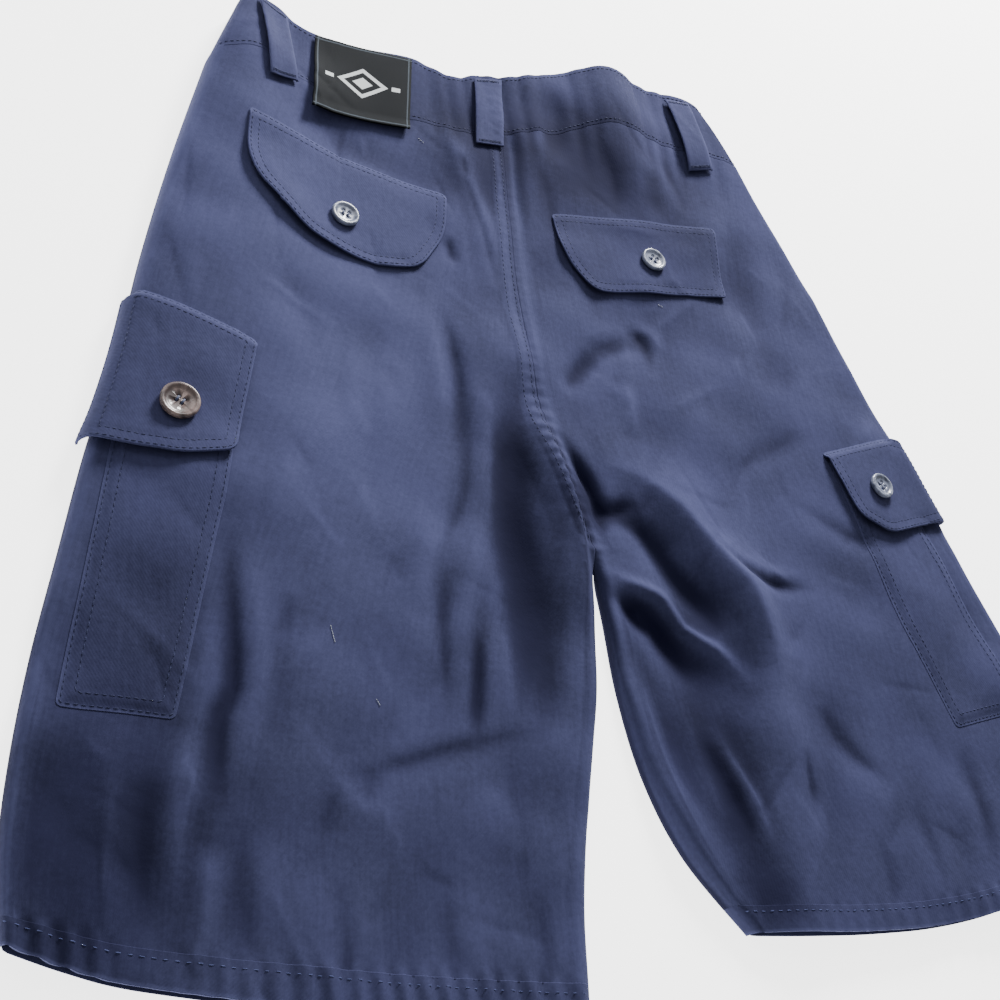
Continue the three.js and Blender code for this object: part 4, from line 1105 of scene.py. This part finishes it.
lozenge = math_node("ADD", from_middle_x, math_node("MULTIPLY", from_middle_y, 1.3))
ring = band_of(lozenge, 11.0, 15.0)
core = band_of(lozenge, -1.0, 6.0)
bars = math_node("MULTIPLY", band_of(from_middle_x, 17.0, 22.0), band_of(from_middle_y, -1.0, 1.6))
motif = math_node("ADD", math_node("ADD", ring, core), bars, clamp=True)
edge_x = band_of(from_middle_x, 26.4, 27.2)
edge_y = band_of(from_middle_y, 25.8, 26.6)
border = math_node("MULTIPLY", math_node("ADD", edge_x, edge_y, clamp=True), 0.6)
cloth = add(tree, "ShaderNodeUVMap", {"uv_map": "cloth"}).outputs["UV"]
thread = add(tree, "ShaderNodeTexWave", {"wave_type": "BANDS", "bands_direction": "Y"}, {
    "Vector": cloth, "Scale": 2 * math.pi * 1000 / 0.7 / 20, "Distortion": 0.6, "Detail": 1.0}).outputs["Fac"]
ground = add(tree, "ShaderNodeMix", {"data_type": "RGBA"}, {
    "Factor": math_node("MULTIPLY", thread, 0.12), "A": linear(LABEL_COLOURS["ground"]),
    "B": linear(LABEL_COLOURS["edge"])}).outputs["Result"]
bordered = add(tree, "ShaderNodeMix", {"data_type": "RGBA"}, {
    "Factor": border, "A": ground, "B": linear(LABEL_COLOURS["edge"])}).outputs["Result"]
woven = add(tree, "ShaderNodeMix", {"data_type": "RGBA"}, {
    "Factor": motif, "A": bordered, "B": linear(LABEL_COLOURS["pale"])}).outputs["Result"]
tree.links.new(woven, shader.inputs["Base Color"])
shader.inputs["Roughness"].default_value = 0.85
shader.inputs["Specular IOR Level"].default_value = 0.1
label_bump = add(tree, "ShaderNodeBump", inputs={"Height": thread, "Strength": 0.25, "Distance": 0.0002})
tree.links.new(label_bump.outputs["Normal"], shader.inputs["Normal"])

across, down = np.meshgrid(np.linspace(0, 1, LABEL_GRID[1] + 1), np.linspace(0, 1, LABEL_GRID[0] + 1))


def label_top(across, down, out=0.0):
    west_lift = 1.6 * (1 - smooth(0, 0.22, across)) * smooth(0.05, 0.6, down)
    low_lift = 1.2 * smooth(0.86, 1.0, down)
    wave = 0.5 * np.sin(2.1 * math.pi * across + 0.7) * smooth(0, 0.5, down)
    return bridge(LABEL_CORNERS, across, down, 4, LABEL_WALL + west_lift + low_lift + wave + out + 0.5)


label = grid_piece("label_patch", label_top(across, down), (across - 0.5) * LABEL_SIZE[0], (down - 0.5) * LABEL_SIZE[1],
                   label_material, LABEL_WALL)
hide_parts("label")

# Sew-through buttons of polyester with a pearly finish: a raised rim, a dish and four holes

BUTTON_SIZES = {"small": (7.5, 2.6), "large": (9.0, 3.0), "waist": (8.0, 1.2)}
BUTTON_COLOURS = {"pearl": (0x4A5064, 0x8C93A8), "horn": (0x3C3030, 0x85736F)}
HOLE = (0.95, 1.95)


def pearl(name, dark, light):
    material, tree, shader = new_material(name)
    place = add(tree, "ShaderNodeTexCoord").outputs["Object"]
    swirl = add(tree, "ShaderNodeTexNoise", inputs={
        "Vector": place, "Scale": 120.0, "Detail": 2.0, "Distortion": 1.5}).outputs["Fac"]
    share = add(tree, "ShaderNodeMapRange", inputs={
        "Value": swirl, "From Min": 0.35, "From Max": 0.65}).outputs["Result"]
    colour = add(tree, "ShaderNodeMix", {"data_type": "RGBA"}, {
        "Factor": share, "A": linear(dark), "B": linear(light)}).outputs["Result"]
    tree.links.new(colour, shader.inputs["Base Color"])
    shader.inputs["Roughness"].default_value = 0.36
    shader.inputs["IOR"].default_value = 1.52
    shader.inputs["Coat Weight"].default_value = 0.25
    shader.inputs["Coat Roughness"].default_value = 0.2
    return material


def lathe(section, segments):
    """Vertices and faces of a section turned about its axis, closed at both ends"""
    ring = np.linspace(0, 2 * math.pi, segments, endpoint=False)
    vertices = [(r * math.cos(a), r * math.sin(a), z) for r, z in section[1:-1] for a in ring]
    vertices += [(0, 0, section[0][1]), (0, 0, section[-1][1])]
    faces = []
    for j in range(len(section) - 3):
        for i in range(segments):
            k = (i + 1) % segments
            faces.append((j * segments + i, j * segments + k, (j + 1) * segments + k, (j + 1) * segments + i))
    last = (len(section) - 3) * segments
    for i in range(segments):
        k = (i + 1) % segments
        faces.append((len(vertices) - 2, k, i))
        faces.append((len(vertices) - 1, last + i, last + k))
    return vertices, faces


def cylinder(radius, low, high, segments, x, y):
    """A closed cylinder as vertices and faces"""
    vertices, faces = lathe([(0, low), (radius, low), (radius, high), (0, high)], segments)
    return [(vx + x, vy + y, vz) for vx, vy, vz in vertices], faces


def join_shapes(shapes):
    """Several shapes as one list of vertices and faces"""
    vertices, faces = [], []
    for more_vertices, more_faces in shapes:
        start = len(vertices)
        vertices += more_vertices
        faces += [tuple(start + i for i in face) for face in more_faces]
    return vertices, faces


def plain_object(name, shape):
    mesh = bpy.data.meshes.new(name)
    mesh.from_pydata([tuple(c / 1000 for c in v) for v in shape[0]], [], shape[1])
    piece = bpy.data.objects.new(name, mesh)
    bpy.context.scene.collection.objects.link(piece)
    return piece


def evaluated_mesh(piece):
    """A plain mesh of a piece with its modifiers applied"""
    graph = bpy.context.evaluated_depsgraph_get()
    return bpy.data.meshes.new_from_object(piece.evaluated_get(graph))


def button_section(radius, height):
    """Section of a button from the middle of its foot to the middle of its dish"""
    t = min(1.0, height / 2.6)
    return [
        (0, 0), (radius - 1.4, 0), (radius - 0.5, 0.25 * t), (radius - 0.1, 0.8 * t), (radius, 1.2 * t),
        (radius - 0.1, height - 0.55 * t), (radius - 0.45, height - 0.15 * t), (radius - 0.95, height),
        (radius - 1.6, height - 0.1 * t), (radius - 2.1, height - 0.45 * t), (radius - 2.6, height - 0.8 * t),
        (radius - 3.4, height - 1.0 * t), (0.4, height - 1.05 * t), (0, height - 1.05 * t),
    ]


def button_mesh(name, size):
    radius, height = BUTTON_SIZES[size]
    body = plain_object(name, lathe(button_section(radius, height), 56))
    places = [math.pi / 4 + i * math.pi / 2 for i in range(4)]
    drill = plain_object(f"{name}_drill", join_shapes([
        cylinder(HOLE[0], -2, height + 2, 16, HOLE[1] * math.cos(a), HOLE[1] * math.sin(a)) for a in places]))
    cut = body.modifiers.new("holes", "BOOLEAN")
    cut.object = drill
    cut.operation = "DIFFERENCE"
    cut.solver = "EXACT"
    mesh = evaluated_mesh(body)
    bpy.data.objects.remove(body)
    bpy.data.objects.remove(drill)
    return mesh


thread_material, tree, shader = new_material("navy polyester thread")
place = add(tree, "ShaderNodeTexCoord").outputs["Object"]
lay = add(tree, "ShaderNodeTexNoise", inputs={"Vector": place, "Scale": 900.0}).outputs["Fac"]
colour = add(tree, "ShaderNodeMix", {"data_type": "RGBA"}, {
    "Factor": lay, "A": linear(0x2C3450), "B": linear(0x56618A)}).outputs["Result"]
tree.links.new(colour, shader.inputs["Base Color"])
shader.inputs["Roughness"].default_value = 0.6
shader.inputs["Sheen Weight"].default_value = 0.3

pearl_material = pearl("pearl polyester", *BUTTON_COLOURS["pearl"])
horn_material = pearl("brown pearl polyester", *BUTTON_COLOURS["horn"])
BUTTONS = [
    ("back_left", "left", -107, -133, "small", "pearl_button"),
    ("back_right", "right", 79, -125, "small", "pearl_button"),
    ("cargo_left", "cargo_left", -197, -259, "large", "horn_button"),
    ("cargo_right", "cargo_right", 193, -263, "small", "pearl_button"),
    ("waist", None, *(band_plan(np.array([0.5]), np.array([0.5]))[0] - (8, FRONT_DROP)), "waist", "pearl_button"),
]


def seat(mesh, top, x, y, radius, turn):
    """Moves a button's mesh to its place, square to the flap and just clear of it"""
    angles = np.linspace(0, 2 * math.pi, 13)
    ring_x, ring_y = x + radius * 0.95 * np.cos(angles), y + radius * 0.95 * np.sin(angles)
    ring = top(ring_x, ring_y)
    middle = top(np.array([x]), np.array([y]))[0]
    normal = np.cross(ring[:-1] - middle, ring[1:] - middle).sum(0)
    normal /= np.linalg.norm(normal)
    lift = max(0.0, ((ring - middle) @ normal).max()) + SEAM_GAP
    frame_turn = Vector(normal).to_track_quat("Z", "Y").to_matrix() @ Matrix.Rotation(turn, 3, "Z")
    place = Vector(metres(middle + normal * lift))
    mesh.transform(Matrix.Translation(place) @ frame_turn.to_4x4())
    return place, frame_turn


for name, flap, x, y, size, slot_name in BUTTONS:
    radius, height = BUTTON_SIZES[size]
    mesh = button_mesh(f"button_{name}_fine", size)
    if flap:
        place, frame_turn = seat(mesh, flap_tops[flap], x, y, radius, 0.3 + 0.01 * x)
    else:
        place, frame_turn = Vector(metres((x, y, height))), Matrix.Rotation(math.pi, 3, "X")
        mesh.transform(Matrix.Translation(place) @ frame_turn.to_4x4())
    mesh.name = f"{name}_button"
    mesh.shade_smooth()
    mesh.materials.clear()
    mesh.materials.append(horn_material if slot_name == "horn_button" else pearl_material)
    piece = bpy.data.objects.new(f"{name}_button", mesh)
    bpy.context.scene.collection.objects.link(piece)
    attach(piece, "root")
    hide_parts(f"button_{name}" if flap else "waist_button")
    # Thread in two bars through the four holes
    bars = []
    for side in (-1, 1):
        for k in range(3):
            offset = side * HOLE[1] * 0.707 + (k - 1) * 0.32
            path = [(-HOLE[1] * 0.707 - 0.3, height - 2.2), (-HOLE[1] * 0.707, height - 1.1),
                    (-0.6, height - 0.62), (0.6, height - 0.62), (HOLE[1] * 0.707, height - 1.1),
                    (HOLE[1] * 0.707 + 0.3, height - 2.2)]
            bars.append([(px, offset, pz) for px, pz in path])
    curve = bpy.data.curves.new(f"{name}_thread", "CURVE")
    curve.dimensions = "3D"
    curve.bevel_depth = 0.00019
    curve.bevel_resolution = 1
    for path in bars:
        line = curve.splines.new("POLY")
        line.points.add(len(path) - 1)
        for point, (px, py, pz) in zip(line.points, path):
            point.co = (px / 1000, py / 1000, pz / 1000, 1)
    rope = bpy.data.objects.new(f"{name}_thread_curve", curve)
    bpy.context.scene.collection.objects.link(rope)
    thread_mesh = evaluated_mesh(rope)
    bpy.data.objects.remove(rope)
    thread_mesh.transform(Matrix.Translation(place) @ frame_turn.to_4x4())
    thread_mesh.materials.clear()
    thread_mesh.materials.append(thread_material)
    thread = bpy.data.objects.new(f"{name}_thread", thread_mesh)
    bpy.context.scene.collection.objects.link(thread)
    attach(thread, "root")

# Stitching: each stitch is a short bead of thread that sinks at both ends into the cloth. One
# tree of nodes sets them along paths, with a slight unevenness of the hand.

STITCH = {"pitch": 3.0, "length": 2.3, "width": 0.5}


def stitch_nodes():
    tree = bpy.data.node_groups.new("stitches along a path", "GeometryNodeTree")
    sockets = {}
    for name, kind in (("Path", "NodeSocketGeometry"), ("Pitch", "NodeSocketFloat"), ("Size", "NodeSocketVector"),
                       ("Seed", "NodeSocketInt"), ("Thread", "NodeSocketMaterial")):
        sockets[name] = tree.interface.new_socket(name, in_out="INPUT", socket_type=kind).identifier
    tree.interface.new_socket("Stitches", in_out="OUTPUT", socket_type="NodeSocketGeometry")
    given = tree.nodes.new("NodeGroupInput").outputs
    curve = add(tree, "GeometryNodeMeshToCurve", inputs={0: given["Path"]}).outputs[0]
    points = add(tree, "GeometryNodeResampleCurve", {"mode": "LENGTH"}, {
        "Curve": curve, "Length": given["Pitch"]}).outputs[0]
    bead = add(tree, "GeometryNodeMeshUVSphere", inputs={"Segments": 6, "Rings": 4, "Radius": 0.5}).outputs["Mesh"]
    upward = add(tree, "GeometryNodeInputNamedAttribute", {"data_type": "FLOAT_VECTOR"}, {"Name": "up"}).outputs[0]
    tangent = add(tree, "GeometryNodeInputTangent").outputs[0]
    facing = add(tree, "FunctionNodeAxesToRotation", {"primary_axis": "X", "secondary_axis": "Z"}, {
        0: tangent, 1: upward}).outputs[0]
    sway = add(tree, "FunctionNodeRandomValue", {"data_type": "FLOAT_VECTOR"}, {
        "Min": (0.0, 0.0, -0.09), "Max": (0.0, 0.0, 0.09), "Seed": given["Seed"]}).outputs[0]
    swayed = add(tree, "FunctionNodeRotateRotation", {"rotation_space": "LOCAL"}, {
        0: facing, 1: sway}).outputs[0]
    spread = add(tree, "FunctionNodeRandomValue", {"data_type": "FLOAT_VECTOR"}, {
        "Min": (0.85, 0.85, 0.8), "Max": (1.1, 1.15, 1.1), "Seed": given["Seed"]}).outputs[0]
    size = add(tree, "ShaderNodeVectorMath", {"operation": "MULTIPLY"}, {0: given["Size"], 1: spread}).outputs[0]
    beads = add(tree, "GeometryNodeInstanceOnPoints", inputs={
        "Points": points, "Instance": bead, "Rotation": swayed, "Scale": size}).outputs[0]
    real = add(tree, "GeometryNodeRealizeInstances", inputs={0: beads}).outputs[0]
    thread = add(tree, "GeometryNodeSetMaterial", inputs={"Geometry": real, "Material": given["Thread"]}).outputs[0]
    tree.links.new(thread, tree.nodes.new("NodeGroupOutput").inputs[0])
    return tree, sockets


stitch_tree, stitch_sockets = stitch_nodes()


def stitch(name, lines, material, pitch=None, length=None, width=None):
    """Stitches along lines, each given as points and as the ways up at them, in millimetres"""
    vertices, edges, ups = [], [], []
    for points, up in lines:
        start = len(vertices)
        vertices += metres(points).tolist()
        edges += [(start + i, start + i + 1) for i in range(len(points) - 1)]
        ups.append(up)
    mesh = bpy.data.meshes.new(name)
    mesh.from_pydata(vertices, edges, [])
    mesh.attributes.new("up", "FLOAT_VECTOR", "POINT").data.foreach_set("vector", np.concatenate(ups).ravel())
    path = bpy.data.objects.new(f"{name}_path", mesh)
    bpy.context.scene.collection.objects.link(path)
    modifier = path.modifiers.new("stitches", "NODES")
    modifier.node_group = stitch_tree
    thick = width or STITCH["width"]
    values = {
        "Pitch": (pitch or STITCH["pitch"]) / 1000, "Seed": len(name) + len(vertices),
        "Size": ((length or STITCH["length"]) / 1000, thick / 1000, thick * 0.7 / 1000), "Thread": material,
    }
    for key, value in values.items():
        modifier[stitch_sockets[key]] = value
    beads = bpy.data.objects.new(name, evaluated_mesh(path))
    bpy.data.objects.remove(path)
    bpy.context.scene.collection.objects.link(beads)
    beads.data.shade_smooth()
    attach(beads, "root")
    return beads


def line_on(top, plan, out=0.08):
    """A stitch line on a surface over places in plan"""
    points = top(plan[:, 0], plan[:, 1], out)
    up = top(plan[:, 0], plan[:, 1], out + 1.0) - points
    return points, up / np.linalg.norm(up, axis=1, keepdims=True)


def cloth_thread(name, colour, light):
    material, tree, shader = new_material(name)
    place = add(tree, "ShaderNodeTexCoord").outputs["Object"]
    twist = add(tree, "ShaderNodeTexNoise", inputs={"Vector": place, "Scale": 700.0}).outputs["Fac"]
    tint = add(tree, "ShaderNodeMix", {"data_type": "RGBA"}, {
        "Factor": twist, "A": linear(colour), "B": linear(light)}).outputs["Result"]
    tree.links.new(tint, shader.inputs["Base Color"])
    shader.inputs["Roughness"].default_value = 0.75
    shader.inputs["Specular IOR Level"].default_value = 0.2
    return material


navy_thread = cloth_thread("navy cotton thread", 0x23263F, 0x3A3F62)
faded_thread = cloth_thread("faded navy cotton thread", 0x3C4268, 0x5A6290)

FLAP_ROWS = {"left": (1.6, 5.6), "right": (1.6, 5.6), "cargo_left": (1.6, 5.6), "cargo_right": (1.6, 5.6),
             "pocket_left": (1.6, 6.4), "pocket_right": (1.6, 6.4)}
for name, insets in FLAP_ROWS.items():
    rows = [inset(flap_outlines[name], distance) for distance in insets]
    stitch(f"stitches_{name}", [line_on(flap_tops[name], np.vstack([row, row[:1]])) for row in rows], navy_thread)

for leg in ("left", "right"):
    u = np.linspace(0.03, 0.97, 200)
    v = np.full(u.shape, HEM_SEAM + 0.006)
    points = leg_lay(leg, u, v, np.full(u.shape, 0.1), HEM_STEP)
    up = leg_lay(leg, u, v, np.full(u.shape, 1.1), HEM_STEP) - points
    stitch(f"stitches_hem_{leg}", [(points, up)], faded_thread, pitch=4.2, length=2.4, width=0.45)

along = np.linspace(0.02, 0.98, 240)
rows = []
for down in (0.06, 0.94):
    points = band_surface(along, np.full(along.shape, down), BAND_STEP + 0.12)
    rows.append((points, np.tile((0.0, 0.0, 1.0), (len(points), 1))))
stitch("stitches_waistband", rows, navy_thread)

seam_y = np.linspace(-58, -306, 180)
seam_line = spline(CENTRE_BACK, np.linspace(0, 1, 40))
rows = []
for offset in (-2.0, -7.2):
    x = np.interp(-seam_y, -seam_line[:, 1], seam_line[:, 0]) + offset
    points = np.stack([x, seam_y, cloth_height(x, seam_y) + 0.12], -1)
    rows.append((points, np.tile((0.0, 0.0, 1.0), (len(points), 1))))
stitch("stitches_centre_seam", rows, navy_thread)

for name, loop_top in loop_tops.items():
    rows = []
    for down in (0.035, 0.05, 0.95, 0.965):
        across = np.linspace(0.12, 0.88, 20)
        at = np.full(across.shape, down)
        points = loop_top(across, at, 0.1)
        rows.append((points, loop_top(across, at, 1.1) - points))
    stitch(f"tacks_{name}", rows, navy_thread, pitch=0.9, length=0.8, width=0.6)

# Specks of lint on the cloth

lint_material = cloth_thread("pale cotton lint", 0x8A8E9C, 0xC0C4CC)
LINT = [(-135, -359, 1, 7), (-92, -522, 3, 2), (-56, -66, 2, 2), (78, -154, 2, 1), (-118, -392, 1, 2)]
specks = []
for x, y, dx, dy in LINT:
    ends = np.array([(x, y), (x + dx, y - dy)], float)
    points = np.column_stack([ends, cloth_height(*ends.T) + 0.3])
    specks.append((points, np.tile((0.0, 0.0, 1.0), (2, 1))))
stitch("lint", specks, lint_material, pitch=1.1, length=1.3, width=0.35)
